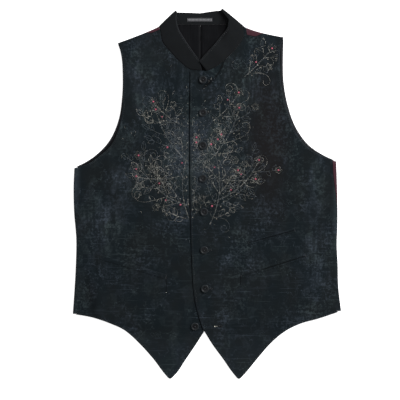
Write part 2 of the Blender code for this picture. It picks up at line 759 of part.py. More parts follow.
def build():
    for old in list(bpy.data.objects):
        bpy.data.objects.remove(old)
    front_cloth = finish("front_cloth", (0.013, 0.017, 0.022), 0.85)
    back_cloth = finish("back_cloth", (0.10, 0.012, 0.022), 0.5)
    lining_cloth = finish("lining", (0.010, 0.010, 0.012), 0.6)
    collar_cloth = finish("collar_cloth", (0.009, 0.011, 0.014), 0.85)
    label_cloth = finish("label", (0.03, 0.03, 0.034), 0.7)
    button_plastic = finish("button", (0.02, 0.022, 0.026), 0.35)

    fronts = {"right": rows_through(RIGHT_FRONT), "left": rows_through(LEFT_FRONT)}
    heights = {"right": right_front_height, "left": left_front_height_over(fronts["right"])}
    backs = {"right": back_rows(RIGHT_BACK, RIGHT_SHOULDER), "left": back_rows(LEFT_BACK, LEFT_SHOULDER)}
    sides = {"right": -1, "left": 1}
    shoulders = {"right": RIGHT_SHOULDER, "left": LEFT_SHOULDER}
    front_paths = {"right": right_front_path, "left": left_front_path}
    back_paths = {"right": right_back_path, "left": left_back_path}

    made = []
    surfaces = {}
    for name, side in sides.items():
        front = front_panel(fronts[name], side, heights[name], front_paths[name])
        surfaces[name] = surface_of(front)
        back = back_panel(backs[name], side, back_paths[name], shoulders[name], fronts[name])
        lining = lining_panel(backs[name], side, shoulders[name])
        made.append(front.solid("front_" + name, FRONT_THICK, front_cloth))
        made.append(back.solid("back_" + name, BACK_THICK, back_cloth))
        made.append(lining.solid("lining_" + name, LINING_THICK, lining_cloth))
    made.append(collar_band(fronts, heights, backs).solid("collar", COLLAR_THICK, collar_cloth))
    made.append(label_strip(label_cloth))
    for pocket in POCKETS:
        made.append(welt(pocket, surfaces[pocket.front]).solid(pocket.name, 1, front_cloth))
    shared = button_mesh(button_plastic)
    for number, place in enumerate(BUTTON_PLACES, 1):
        made.append(seat_button("button_%d" % number, shared, place, surfaces[place.front]))
    centre_on_origin(made)


build()
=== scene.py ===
"""The looks of a waistcoat laid flat, face up: its cloth, seams, stitching, buttons and thread design.

Left and right are the wearer's, so the left front is on the +X side. Lengths are in millimetres until a
mesh is made. Each panel is worked out from sections like those of its solid in the frame, and its outline
lies within about 2 mm of that solid's.
"""
import math
import random
from collections import namedtuple

import bmesh
import bpy
from mathutils import Matrix, Vector, noise
from mathutils.bvhtree import BVHTree


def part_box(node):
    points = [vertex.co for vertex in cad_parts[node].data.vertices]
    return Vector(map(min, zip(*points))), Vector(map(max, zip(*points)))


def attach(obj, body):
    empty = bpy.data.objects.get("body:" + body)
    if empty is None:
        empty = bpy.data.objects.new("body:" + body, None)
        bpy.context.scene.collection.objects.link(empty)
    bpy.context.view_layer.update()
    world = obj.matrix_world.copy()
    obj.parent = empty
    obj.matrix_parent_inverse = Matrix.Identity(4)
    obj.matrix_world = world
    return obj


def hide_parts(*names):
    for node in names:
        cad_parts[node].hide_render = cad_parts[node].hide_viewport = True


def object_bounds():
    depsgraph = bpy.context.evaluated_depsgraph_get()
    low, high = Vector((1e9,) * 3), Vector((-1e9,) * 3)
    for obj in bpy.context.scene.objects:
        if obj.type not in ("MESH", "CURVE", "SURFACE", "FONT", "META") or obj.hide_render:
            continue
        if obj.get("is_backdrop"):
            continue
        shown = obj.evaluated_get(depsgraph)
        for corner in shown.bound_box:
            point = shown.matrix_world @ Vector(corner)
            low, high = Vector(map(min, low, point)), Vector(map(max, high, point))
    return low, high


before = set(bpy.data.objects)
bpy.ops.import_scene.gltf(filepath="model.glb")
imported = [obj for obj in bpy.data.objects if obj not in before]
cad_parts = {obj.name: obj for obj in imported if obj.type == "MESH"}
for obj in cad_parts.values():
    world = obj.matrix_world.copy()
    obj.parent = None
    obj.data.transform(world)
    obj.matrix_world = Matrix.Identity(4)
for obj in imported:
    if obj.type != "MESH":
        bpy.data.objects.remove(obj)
cad_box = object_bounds()

MM = 0.001

# Walls, turned edges and seams. The sizes are the frame's, but the left side's seam leaves the top higher
# up, and the shoulders are a little hollow.
SEAM_GAP = 0.3
BACK_THICK = 1.2
LINING_THICK = 1.2
FRONT_THICK = 1.8
COLLAR_THICK = 2.0
TURN_RADIUS = 2.5
HALF_TURN = math.pi * TURN_RADIUS
STACK_TOP = 2 * TURN_RADIUS
LINING_TOP = BACK_THICK + SEAM_GAP + LINING_THICK
OVERLAP_RISE = FRONT_THICK + 0.5
OVERLAP_REACH = 10
OVERLAP_FALL = 20
HEM_CLEAR = 8
HEM_FALL = 28
RIGHT_SEAM_UNDER = 3.0
LEFT_SEAM_OVER = 4.4
LEFT_SEAM_LOW = 0.55 * HALF_TURN
LEFT_SEAM_TOP_Y = 50
LEFT_SEAM_LOW_Y = -50
SIDE_MARGIN = 6
SHOULDER_SEAM_LOW = 0.38
SHOULDER_ALLOWANCE = 12
HOLLOW_REACH = 26
HOLLOW_LEAN = 0.75
LINING_SIDE_INSET = 5.0
LINING_ARM_INSET = -0.4
LINING_SHOULDER_INSET = 2.0
LINING_LOOSE_REACH = 8
COLLAR_GAP = 0.4
COLLAR_TOP_RADIUS = 4.5
COLLAR_END_LIFT = 2.5
COLLAR_CORNER_CLEAR = 0.3
CENTRE_BACK_X = -11.0
ABOVE_ALL = 100

# How finely each piece is divided
ROW_DETAIL = 4
FRONT_COLUMNS = 68
FRONT_CROWDING = 1.15
BACK_COLUMNS = 40
LINING_COLUMNS = 34
COLLAR_COLUMNS = 14
COLLAR_SHARES = [j / COLLAR_COLUMNS for j in range(COLLAR_COLUMNS + 1)]
TURN_STEPS = 14
FLAP_STEPS = 12
TIP_ROUND = 1.3

# Rounded edges of a wall, and how strongly each ring of points there counts as edge
RIM_ROUND = 0.45
RIM_ROOM = 0.8
RIM_SHARE = 0.7

UP = Vector((0, 0, 1))
DOWN = Vector((0, 0, -1))

# A section runs from a panel's inner edge (centre or neck) to its outer edge (hem, side or armhole)
Section = namedtuple("Section", "inner_x inner_y outer_x outer_y steps corner", defaults=(1, ""))

RIGHT_FRONT = (
    Section(-66.0, -349.5, -72.7, -349.5, 1),
    Section(-58.1, -341.4, -80.0, -341.2, 2),
    Section(-39.6, -314.4, -100.4, -314.1, 2),
    Section(-21.4, -287.5, -124.6, -287.0, 1),
    Section(-11.5, -272.1, -141.2, -270.7, 1),
    Section(-4.6, -260.3, -156.9, -258.1, 1),
    Section(1.0, -240.5, -181.7, -246.3, 2),
    Section(5.0, -222.5, -214.0, -235.0, 2),
    Section(8.5, -209.0, -254.0, -227.5, 2, "outer"),
    Section(13.0, -178.5, -251.0, -186.0, 2),
    Section(16.0, -125.5, -248.0, -129.0, 2),
    Section(17.5, -83.5, -247.3, -87.5, 3),
    Section(18.5, -30.5, -251.6, -32.5, 3),
    Section(19.0, 26.5, -252.4, 17.0, 2),
    Section(19.0, 61.0, -251.0, 50.0, 1, "outer"),
    Section(19.0, 83.5, -228.0, 55.5, 2),
    Section(19.0, 102.5, -204.5, 70.5, 2),
    Section(19.0, 129.0, -181.5, 92.0, 2),
    Section(19.0, 159.5, -167.0, 123.5, 2),
    Section(19.0, 194.0, -159.5, 159.5, 2),
    Section(19.0, 232.0, -157.5, 201.5, 1, "inner"),
    Section(-8.5, 234.0, -158.0, 235.5, 2),
    Section(-31.5, 236.5, -160.0, 254.5, 2),
    Section(-50.5, 250.0, -162.0, 265.0, 2),
    Section(-67.5, 268.0, -163.5, 271.5, 2),
    Section(-84.0, 289.0, -164.5, 277.5, 2),
    Section(-88.5, 312.0, -166.0, 282.5, 1),
)

LEFT_FRONT = (
    Section(58.3, -349.8, 64.7, -349.8, 1),
    Section(50.4, -340.5, 73.5, -340.4, 2),
    Section(30.3, -312.0, 96.8, -312.2, 2),
    Section(10.0, -284.2, 122.5, -283.0, 1),
    Section(0.4, -268.4, 140.5, -267.1, 1),
    Section(-5.5, -258.5, 156.1, -256.6, 1),
    Section(-11.5, -242.0, 178.5, -246.0, 2),
    Section(-16.5, -226.0, 210.0, -237.0, 2),
    Section(-20.5, -209.0, 255.5, -222.0, 2, "outer"),
    Section(-25.0, -178.5, 250.0, -175.0, 2),
    Section(-27.5, -135.0, 248.8, -129.0, 2),
    Section(-29.0, -91.0, 247.2, -99.0, 3),
    Section(-30.5, -34.0, 248.5, -57.0, 3),
    Section(-31.5, 26.5, 248.0, 7.5, 2),
    Section(-31.5, 67.5, 246.2, 62.3, 1, "outer"),
    Section(-31.5, 89.5, 220.0, 71.6, 2),
    Section(-31.5, 112.0, 195.0, 86.1, 2),
    Section(-31.5, 140.5, 173.5, 109.5, 2),
    Section(-31.5, 171.0, 158.0, 142.5, 2),
    Section(-31.5, 201.5, 148.0, 175.0, 2),
    Section(-31.0, 232.0, 141.0, 213.0, 2, "inner"),
    Section(0.0, 233.5, 139.5, 243.0, 2),
    Section(16.0, 240.0, 139.0, 260.5, 2),
    Section(33.0, 252.5, 139.5, 271.5, 2),
    Section(50.0, 269.0, 140.5, 279.5, 2),
    Section(64.5, 287.0, 142.0, 286.0, 2),
    Section(71.5, 302.0, 145.0, 293.3, 1),
)

RIGHT_BACK = (
    Section(-11.0, -235.5, -254.0, -227.5, 2, "outer"),
    Section(-11.0, -182.5, -251.0, -186.0, 2),
    Section(-11.0, -129.0, -248.0, -129.0, 2),
    Section(-11.0, -87.5, -247.3, -87.5, 3),
    Section(-11.0, -34.0, -251.6, -32.5, 3),
    Section(-11.0, 17.0, -252.4, 17.0, 2),
    Section(-11.0, 49.5, -251.0, 50.0, 1, "outer"),
    Section(-11.0, 72.0, -229.5, 60.4, 2),
    Section(-11.0, 93.0, -206.9, 76.1, 2),
    Section(-11.0, 131.0, -183.5, 102.0, 2),
    Section(-11.0, 178.5, -167.8, 136.8, 3),
    Section(-11.0, 235.5, -159.9, 186.0, 2),
    Section(-11.0, 283.0, -159.0, 228.0, 2),
    Section(-11.0, 320.0, -161.0, 259.5, 2, "inner"),
    Section(-50.5, 320.5, -164.5, 275.5, 2),
)

LEFT_BACK = (
    Section(-11.0, -235.5, 255.0, -220.0, 2, "outer"),
    Section(-11.0, -182.5, 250.0, -175.0, 2),
    Section(-11.0, -129.0, 248.8, -129.0, 2),
    Section(-11.0, -97.0, 247.2, -99.0, 3),
    Section(-11.0, -53.0, 248.5, -57.0, 3),
    Section(-11.0, 7.5, 248.0, 7.5, 2),
    Section(-11.0, 59.0, 246.2, 62.3, 1, "outer"),
    Section(-11.0, 80.0, 220.0, 74.4, 2),
    Section(-11.0, 102.5, 193.1, 93.1, 2),
    Section(-11.0, 140.5, 170.5, 123.5, 2),
    Section(-11.0, 188.0, 153.0, 171.0, 2),
    Section(-11.0, 243.0, 145.5, 216.5, 2),
    Section(-11.0, 289.0, 144.7, 254.5, 2),
    Section(-11.0, 320.0, 145.1, 275.5, 2, "inner"),
    Section(29.5, 320.5, 145.5, 286.5, 2),
)

# The folds over the shoulders and at the sides of the neck, each from the collar's seam outward or upward
Fold = namedtuple("Fold", "start_x start_y end_x end_y")
RIGHT_SHOULDER = Fold(-90.5, 318.0, -168.6, 286.4)
LEFT_SHOULDER = Fold(72.0, 317.5, 146.0, 297.5)
RIGHT_COLLAR_FOLD = Fold(-91.0, 318.0, -59.0, 348.2)
LEFT_COLLAR_FOLD = Fold(72.0, 317.5, 29.8, 352.1)

# How deep each shoulder's edge is hollow
SHOULDER_HOLLOWS = ((RIGHT_SHOULDER, 1.2), (LEFT_SHOULDER, 2.6))

# Shares of a shoulder, from the neck, between which its seam climbs onto the top and slides off it again
Climb = namedtuple("Climb", "starts up leaves down")
SEAM_CLIMBS = {RIGHT_SHOULDER: Climb(-0.2, -0.1, 0.16, 0.46), LEFT_SHOULDER: Climb(0.02, 0.12, 0.30, 0.55)}

# The collar's top edge: along each front, from the centre, and along each half of the back
RIGHT_ARM_TOPS = (
    (-12.0, 252.0), (-21.5, 264.0), (-31.0, 277.5), (-43.5, 296.5), (-54.0, 315.5), (-57.5, 333.0),
)
LEFT_ARM_TOPS = (
    (-14.0, 251.5), (-1.0, 266.0), (12.0, 280.0), (26.0, 297.5), (39.5, 315.5), (42.0, 331.0),
)
COLLAR_CENTRE_TOP = (-12.5, 343.5)
RIGHT_BACK_TOP = (-37.0, 344.5)
LEFT_BACK_TOP = (11.5, 347.0)

Side = namedtuple("Side", "sign front back shoulder collar_fold arm_tops back_top")
SIDES = {
    "right": Side(-1, RIGHT_FRONT, RIGHT_BACK, RIGHT_SHOULDER, RIGHT_COLLAR_FOLD,
                  RIGHT_ARM_TOPS, RIGHT_BACK_TOP),
    "left": Side(1, LEFT_FRONT, LEFT_BACK, LEFT_SHOULDER, LEFT_COLLAR_FOLD,
                 LEFT_ARM_TOPS, LEFT_BACK_TOP),
}

# Soft folds. A positive height is a ridge and a negative one a trough. The first two tables are the
# frame's own, and the creases are finer and in the looks alone.
Ridge = namedtuple("Ridge", "start_x start_y end_x end_y width height")
FRONT_RIDGES = (
    Ridge(-231.0, -150.0, -228.0, -245.0, 7.0, 2.2),
    Ridge(-200.0, -165.0, -204.0, -258.0, 9.0, 1.6),
    Ridge(-214.0, 46.0, -150.0, -20.0, 13.0, 2.2),
    Ridge(208.0, 50.0, 150.0, -30.0, 13.0, 2.2),
    Ridge(-105.0, 150.0, -122.0, -60.0, 20.0, 1.8),
    Ridge(98.0, 170.0, 118.0, -40.0, 20.0, 1.8),
    Ridge(-84.0, -175.0, -72.0, -335.0, 15.0, 1.6),
    Ridge(72.0, -175.0, 66.0, -335.0, 15.0, 1.6),
    Ridge(214.0, -140.0, 205.0, -240.0, 13.0, 1.6),
)
LEFT_DRAG_RIDGES = (
    Ridge(40.0, 232.0, -8.0, 186.0, 7.0, 2.0),
    Ridge(12.0, 240.0, -20.0, 205.0, 6.0, 1.2),
)
FRONT_CREASES = (
    Ridge(-231.0, -150.0, -228.0, -245.0, 7.0, -1.6),
    Ridge(-236.0, 30.0, -190.0, -6.0, 5.0, 1.0),
    Ridge(-206.0, 60.0, -172.0, 20.0, 4.0, -0.6),
    Ridge(230.0, 30.0, 190.0, -10.0, 5.0, 1.0),
    Ridge(204.0, 70.0, 172.0, 26.0, 4.0, -0.6),
    Ridge(-140.0, 250.0, -132.0, 110.0, 8.0, 1.1),
    Ridge(128.0, 262.0, 118.0, 120.0, 8.0, 1.1),
    Ridge(-60.0, 215.0, -75.0, 120.0, 9.0, 0.9),
    Ridge(72.0, 240.0, 66.0, 140.0, 7.0, 0.9),
    Ridge(-40.0, -60.0, -52.0, -200.0, 10.0, 0.8),
    Ridge(52.0, -20.0, 46.0, -140.0, 9.0, 0.8),
    Ridge(232.0, -60.0, 226.0, -200.0, 6.0, 1.2),
    Ridge(-170.0, -10.0, -182.0, -110.0, 11.0, 1.0),
    Ridge(176.0, -20.0, 184.0, -100.0, 11.0, 1.0),
    Ridge(-120.0, -190.0, -112.0, -285.0, 8.0, 0.8),
    Ridge(118.0, -180.0, 108.0, -285.0, 8.0, 0.8),
)
LINING_RIDGES = (
    Ridge(-50.0, 325.0, -28.0, 215.0, 9.0, 1.6),
    Ridge(28.0, 325.0, 4.0, 225.0, 8.0, 1.5),
    Ridge(-30.0, 300.0, 22.0, 292.0, 6.0, 0.9),
)

# Loose cloth: its even rise, its uneven rise in broad and fine waves, and where it lies calm
PUFF = 0.8
Wave = namedtuple("Wave", "across along seed rise")
WRINKLES = (Wave(58, 105, 3.1, 0.7), Wave(21, 36, 7.7, 0.28))
SIDE_CALM_X = 243
CALM_REACH = 24
BUTTON_CALM = 15
HEM_CALM = 0.7

# The neck's opening, a V whose point lies at this place, up to the collar's back
NECK_POINT = (-12, 250)
NECK_SLOPE = 0.95
NECK_FADE = 10
NECK_TOP_Y = 316
NECK_TOP_FADE = 8

# Buttons: the profile is radius and height from the underside round to the middle of the top
BUTTON_RADIUS = 7.5
BUTTON_PROFILE = (
    (5.9, 0.0), (6.7, 0.25), (7.3, 0.8), (7.5, 1.5), (7.4, 2.1), (7.0, 2.6), (6.4, 2.85), (5.8, 2.85),
    (5.3, 2.6), (4.9, 2.25), (4.2, 2.1), (2.0, 2.05),
)
BUTTON_SEGMENTS = 48
BUTTON_SEAT_GAP = 0.4
BUTTON_SHARP_ANGLE = 40
BUTTON_TURNS = (0.2, 0.9, 0.5, 1.3, 0.1, 0.7, 1.1, 0.4)
HOLE_RADIUS = 0.9
HOLE_SPACING = 1.7
HOLE_SEGMENTS = 16
DRILL_BOTTOM = -1
DRILL_TOP = 5
# Painted highlights on a button: radii of the bright ring on its rim and of the fainter one round its dish
RIM_HIGHLIGHT_RADIUS = 6.9
INNER_RING = 5.2
INNER_RING_SHARE = 0.35
RING_WIDTH = 0.35
THREAD_RADIUS = 0.3
THREAD_BESIDE = 0.42
THREAD_SUNK = 0.3
THREAD_RISE = 0.75
CROSSED_RISE = 0.12
ButtonPlace = namedtuple("ButtonPlace", "x y front")
BUTTON_PLACES = (
    ButtonPlace(-7.0, 216.5, "left"),
    ButtonPlace(-7.0, 154.0, "left"),
    ButtonPlace(-7.0, 92.0, "left"),
    ButtonPlace(-7.0, 29.5, "left"),
    ButtonPlace(-4.5, -34.0, "left"),
    ButtonPlace(-4.5, -106.5, "left"),
    ButtonPlace(-3.0, -179.5, "left"),
    ButtonPlace(-22.0, -251.0, "right"),
)

# Buttonholes, the open one last
HOLE_STARTS = tuple((place.x - 1.5, place.y) for place in BUTTON_PLACES[:-1]) + ((14.0, -251.0),)
HOLE_LENGTH = 15.0
PURL_PITCH = 0.62
PURL_REACH = 1.35
PURL_RISE = 0.2
BAR_STEP = 0.3
BAR_RISE = 0.25
SLIT_HALF = 0.35
SLIT_WIDTH = 1.0
SLIT_STEPS = 8
SLIT_HEIGHT = 0.08

# Pockets, and how open each mouth is near the centre and far from it, setting its valley's depth and painted
# shade, and where that changes
Pocket = namedtuple("Pocket", "name front start_x start_y end_x end_y width")
POCKETS = (
    Pocket("pocket_left", "left", 65.5, -156.0, 189.0, -117.0, 9.0),
    Pocket("ticket_pocket", "left", 78.5, -93.0, 168.0, -68.5, 7.0),
    Pocket("pocket_right", "right", -76.5, -157.5, -202.5, -119.0, 9.0),
)
Mouth = namedtuple("Mouth", "near far change")
MOUTHS = {
    "pocket_left": Mouth(0.35, 1.0, 0.30),
    "ticket_pocket": Mouth(0.8, 1.0, 0.2),
    "pocket_right": Mouth(0.20, 0.08, 0.5),
}
MOUTH_CHANGE = 0.2
LIP_STEPS = 90
LIP_ACROSS = 18
LIP_SEAT = 0.05
LIP_HEIGHT = 1.25
LIP_FLAT = 0.35
LIP_SHOULDER = 0.25
LIP_END_SHARE = 0.3
LIP_END_POWER = 40
LIP_VALLEY = 0.085
LIP_DIP = 0.85
LIP_THICK = 1.0
TACK_BARS = 5
TACK_START = 0.6
TACK_PITCH = 0.35
TACK_REACH = 0.4
TACK_LIFT = 0.1
TACK_RISE = 1.2

# Seams and rows of stitches
STITCH_LENGTH = 2.6
STITCH_PITCH = 4.0
STITCH_RADIUS = 0.24
STITCH_RISE = 0.15
EDGE_STITCH_INSET = 3.0
ARMHOLE_INSIDE = Vector((0, 170))
COLLAR_STITCH_INSET = 3.0
COLLAR_STITCH_STEPS = 8
COLLAR_INSIDE = Vector((0, 200))
SEAM_SUNK = 0.02
# A dark strip under the upper front's edge, standing for its shadow
EDGE_SHADOW_WIDTH = 3.2
EDGE_SHADOW_PROUD = 0.1
CENTRE_SEAM_SPAN = (222, 321)
CENTRE_SEAM_STEP = 4
CENTRE_SEAM_WIDTH = 1.4
CENTRE_SEAM_HEIGHT = 0.12
NECK_TAPE_WIDTH = 2.2
NECK_TAPE_HEIGHT = 0.3
LINING_SEAM_SUNK = 0.1
CORNER_TACK_IN = 1.5
CORNER_TACK_RADIUS = 1.7
CORNER_TACK_LOW = 0.2
DART_HEIGHT = 0.12
DART_STEP = 2
Dart = namedtuple("Dart", "front start_x start_y end_x end_y width")
DARTS = (
    Dart("left", 64.5, -156.0, 64.5, -172.0, 1.5),
    Dart("left", 196.5, -114.0, 196.5, -152.0, 0.5),
    Dart("right", -76.5, -155.0, -76.5, -186.0, 1.3),
    Dart("right", -207.5, -120.0, -207.5, -149.0, 0.8),
)

# Two light thread ends: in the open buttonhole and at the foot of the right front's dart
LooseEnd = namedtuple("LooseEnd", "front x y size tail")
LOOSE_ENDS = (
    LooseEnd("left", 15.2, -251.0, 1.0, 6.0),
    LooseEnd("right", -76.5, -187.0, 0.5, 1.2),
)
LOOSE_FLATNESS = 0.6
LOOSE_DRIFT = 0.4
LOOSE_RADIUS = 0.2
LOOSE_RISE = 0.3

LABEL_CENTRE = (-13.0, 330.5)
LABEL_SIZE = (48.0, 6.5)
LABEL_ROWS = 6
LABEL_COLUMNS = 30
LABEL_SEAT = 0.25
LABEL_RISE = 0.7
LABEL_BOW = 0.25
LABEL_TURN = 0.5
LABEL_LOZENGE = 2.6
LABEL_TACKS = 12
LABEL_TACK_MARGIN = 0.75
LABEL_TACK_IN = 0.1
LABEL_TACK_HALF = 0.7
LABEL_TACK_OUT = 0.8
LABEL_TACK_RADIUS = 0.2
NARROWEST_CUT = 10.5

# The thread design: its main stems, then its stitches, twigs, leaves, blossoms, tendrils and knots
Stem = namedtuple("Stem", "x y heading bend length twigs")
STEMS = (
    Stem(-26.0, -62.0, 118.0, -34.0, 170.0, 6),
    Stem(-38.0, -20.0, 166.0, -46.0, 130.0, 5),
    Stem(-34.0, 60.0, 140.0, -30.0, 112.0, 4),
    Stem(-40.0, 128.0, 158.0, -40.0, 70.0, 2),
    Stem(-52.0, 34.0, 196.0, -38.0, 75.0, 3),
    Stem(6.0, -58.0, 62.0, 34.0, 150.0, 6),
    Stem(14.0, -14.0, 16.0, 44.0, 112.0, 4),
    Stem(8.0, 66.0, 44.0, 30.0, 105.0, 4),
    Stem(12.0, 138.0, 34.0, 38.0, 66.0, 2),
    Stem(24.0, 30.0, -14.0, 36.0, 62.0, 2),
    Stem(72.0, 222.0, 40.0, 16.0, 68.0, 3),
)
DESIGN_SEED = 11
POINT_PITCH = 1.4
DESIGN_THREAD = 0.28
DESIGN_HEIGHT = 0.22
STITCH_POINTS = (2, 3, 3, 4)
GAP_SHARE = 0.75
BUTTON_CLEAR = 9.0
EDGE_CLEAR = 3.0
SHADES = {
    "pale": ("bright", "pale", "dim", "dim"),
    "slate": ("slate", "slate", "dim"),
    "olive": ("pale", "dim", "slate", "slate"),
}
STEM_APART = 0.9
STEM_END = 0.3
FIRST_TWIG = 0.6
TWIG_COLOURS = ("pale", "slate", "olive", "pale")
TWIG_ANGLE = 46
TWIG_ANGLES = (0.8, 1.25)
TWIG_BENDS = (10, 70)
TWIG_SHARE = 0.36
TWIG_LENGTHS = (0.6, 1.1)
LEAF_LENGTH = 19
LEAF_LENGTHS = (0.75, 1.15)
LEAF_TAPER = (1.05, 0.45)
LEAF_ANGLES = (36, 58)
LEAF_SPREAD = 0.5
LEAF_SPREADS = (0.8, 1.25)
LEAF_LEAN = 0.12
LEAF_FULLEST = 0.8
LEAF_PITCH = 13
MIDRIB_LEAF = 15
TIP_LEAF = 0.9
TIP_LEAF_SHARE = 0.45
TIP_BLOSSOM_SHARE = 0.75
BLOSSOM_RADIUS = 7.0
BLOSSOM_POINTS = 55
PETALS = 5
PETAL_THREAD = (0.3, 0.5, 0.68)
STEM_BLOSSOM = 1.2
STEM_BLOSSOM_OUT = 8
CRIMSON_SHARE = 0.3
TENDRIL_LENGTH = 80
TENDRIL_LENGTHS = (0.7, 1.3)
TENDRIL_TURNS = (-90, 90)
TENDRIL_START = 1.5
TENDRIL_TIGHTEN = 17
TENDRIL_POWER = 1.6
TIP_TENDRIL = 0.7
BERRY_ANGLES = (60, 120)
BERRY_REACHES = (6, 14)
BERRY_SIZES = (0.7, 1.1)
KNOT_SEGMENTS = 10
KNOT_RINGS = 4
KNOT_RADIUS = 1.7
KNOT_HEIGHT = 0.9
KNOT_SUNK = 0.05
PALE_KNOT_RADIUS = 0.8
PALE_KNOT_HEIGHT = 0.6
PALE_KNOT_OUT = 7
PALE_KNOT_ANGLE = 80
SEED_STITCH_COUNT = 560
SEED_STITCH_LENGTH = 3.0
SEED_LENGTHS = (0.6, 1.4)
SEED_COLOURS = ("slate", "pale", "slate", "olive")
SEED_CENTRE = (-16.0, 84.0)
SEED_SPREAD = (52.0, 58.0)

# Marks of the front cloth, each an x, a y and its reach both ways: where it is rubbed most, browner, or
# painted lighter along the sides as a highlight, and the hazes on the chest, each with its strength
RUBBED_SPOTS = (
    (-137, 240, 13, 20), (-118, 170, 20, 22), (72, 195, 22, 44), (-200, -50, 36, 54), (212, 22, 14, 50),
    (208, -125, 22, 68), (-150, 20, 30, 30),
)
BROWN_SPOT = (116, 95, 36, 120)
SIDE_HIGHLIGHTS = ((250, -30, 9, 105), (-251, 25, 9, 45))
HAZY_SPOTS = (((-19, 80, 52, 66), 1.0), ((-119, 222, 26, 58), 0.4))

# Painted shade of the sharp drag creases by the top button, and a painted shadow on the deep side of the
# soft fold
# above the right hem corner: x, y, the reach both ways, softness and turn, and then the strength
PAINTED_CREASE_SHADE = (
    ((29, 242, 13, 2.0, 0.5, 68), 0.75),
    ((19, 224, 13, 2.0, 0.5, 55), 0.75),
    ((3, 209, 15, 3.0, 0.7, 38), 0.75),
    ((-219, -190, 7, 42, 0.7, 10), 0.40),
)

# Painted shadow inside the collar's left side, and how far from the middle a lining's edge stays black
# without its painted highlight
NECK_SHADOW = (33, 320, 8, 22, 0.6)
NECK_REACH = 90

SHEEN_ROUGHNESS = 0.4

# Colours: a pair holds the two shades that a cloth, thread or piece varies between
FRONT_WEAR_AND_HIGHLIGHT = ((0.042, 0.054, 0.070), (0.041, 0.056, 0.060))
FRONT_DYED = ((0.0044, 0.0076, 0.0098), (0.0058, 0.0080, 0.0092))
FRONT_BROWN = (0.0072, 0.0070, 0.0076)
FRONT_SHADE = (0.0010, 0.0012, 0.0015)
COLLAR_BLACK = ((0.0036, 0.0043, 0.0050), (0.0074, 0.0086, 0.0098))
COLLAR_SHADE = (0.0022, 0.0024, 0.0030)
COLLAR_EDGE_HIGHLIGHT = (0.036, 0.041, 0.046)
BURGUNDY = ((0.029, 0.0085, 0.0135), (0.059, 0.0180, 0.0265))
BURGUNDY_EDGE = (0.048, 0.0145, 0.0215)
LINING_BLACK = ((0.0010, 0.0011, 0.0017), (0.0052, 0.0056, 0.0068))
LINING_RIM_HIGHLIGHT = (0.038, 0.041, 0.047)
BUTTON_HORN = ((0.0030, 0.0033, 0.0040), (0.0080, 0.0088, 0.0105))
BUTTON_RIM_HIGHLIGHT = (0.027, 0.034, 0.039)
LABEL_WEAVE = ((0.016, 0.017, 0.021), (0.29, 0.29, 0.30))
SLIT_BLACK = ((0.0036, 0.0040, 0.0048), (0.0052, 0.0058, 0.0068))
THREAD_COLOURS = {
    "dark": ((0.006, 0.007, 0.009), (0.020, 0.023, 0.028)),
    "pale": ((0.29, 0.265, 0.225), (0.47, 0.435, 0.37)),
    "slate": ((0.085, 0.105, 0.125), (0.16, 0.19, 0.22)),
    "bright": ((0.60, 0.58, 0.50), (0.80, 0.77, 0.68)),
    "dim": ((0.11, 0.115, 0.10), (0.19, 0.19, 0.16)),
    "crimson": ((0.30, 0.050, 0.085), (0.50, 0.11, 0.16)),
}
FLOOR_WHITE = ((0.90, 0.90, 0.90), (0.92, 0.92, 0.92))

# Studio: lengths in metres, but the sensor's width and the middle of the view in millimetres
FLOOR_REACH = 6.0
FLOOR_GAP = 0.0002
FLOOR_GLOW = 0.7
WORLD_LIGHT = 0.48
SENSOR_WIDTH = 36.0
CAMERA_HEIGHT = 2.6
VIEW_WIDTH = 0.76
VIEW_CENTRE = (-12.5, -11.4)
Lamp = namedtuple("Lamp", "name x y z size power")
LAMPS = (
    Lamp("key", 2.6, 2.0, 2.6, 1.7, 215.0),
    Lamp("fill", -1.8, -0.4, 2.2, 2.0, 6.0),
)


def smooth_step(value):
    """0 below 0, 1 above 1, and a soft slope between."""
    value = min(max(value, 0.0), 1.0)
    return value * value * (3 - 2 * value)


def bell(value):
    """1 at 0, fading to both sides."""
    return math.exp(-value * value)


def start_of(row):
    return Vector((row.start_x, row.start_y))


def end_of(row):
    return Vector((row.end_x, row.end_y))


def fold_frame(fold):
    """A fold's direction, and the direction out of the garment across it."""
    along = Vector((fold.end_x - fold.start_x, fold.end_y - fold.start_y)).normalized()
    out = Vector((-along.y, along.x))
    if out.dot(start_of(fold) - Vector((CENTRE_BACK_X, 0))) < 0:
        out = -out
    return along, out


def outward(fold):
    return fold_frame(fold)[1]


# Meshes

# The frame's origin, under the middle of the box, lies a little off the middle of these sections
SHIFT = Vector((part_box("back_right")[1].x / MM - (CENTRE_BACK_X - SEAM_GAP / 2),
                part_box("back_right")[0].y / MM - RIGHT_BACK[0].inner_y, 0))


def closed_mesh(name, places, faces, material):
    """A mesh in metres from places in millimetres, its faces turned outward."""
    mesh = bpy.data.meshes.new(name)
    mesh.from_pydata([place * MM for place in places], [], faces)
    work = bmesh.new()
    work.from_mesh(mesh)
    bmesh.ops.recalc_face_normals(work, faces=work.faces[:])
    work.to_mesh(mesh)
    work.free()
    mesh.materials.append(material)
    return mesh


def linked(name, data):
    """A new object, placed in the scene."""
    made = bpy.data.objects.new(name, data)
    bpy.context.collection.objects.link(made)
    return made


def mesh_object(name, places, faces, material):
    """A named piece in the frame's place, riding on the part."""
    mesh = closed_mesh(name, [Vector(place) + SHIFT for place in places], faces, material)
    mesh.shade_smooth()
    made = linked(name, mesh)
    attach(made, "root")
    return made


def spread_values(mesh, name, values):
    """Give each point of a mesh a value that its material can read."""
    mesh.attributes.new(name, "FLOAT", "POINT").data.foreach_set("value", values)


def hollow_shoulder(place):
    """The place moved in where a shoulder's edge is hollow."""
    for fold, depth in SHOULDER_HOLLOWS:
        share = (place.x - fold.start_x) / (fold.end_x - fold.start_x)
        if 0 < share < 1:
            out = outward(fold)
            below = (start_of(fold) - place.xy).dot(out)
            deep = depth * math.sin(math.pi * share ** HOLLOW_LEAN) * smooth_step(1 - below / HOLLOW_REACH)
            return place - (out * deep).to_3d()
    return place


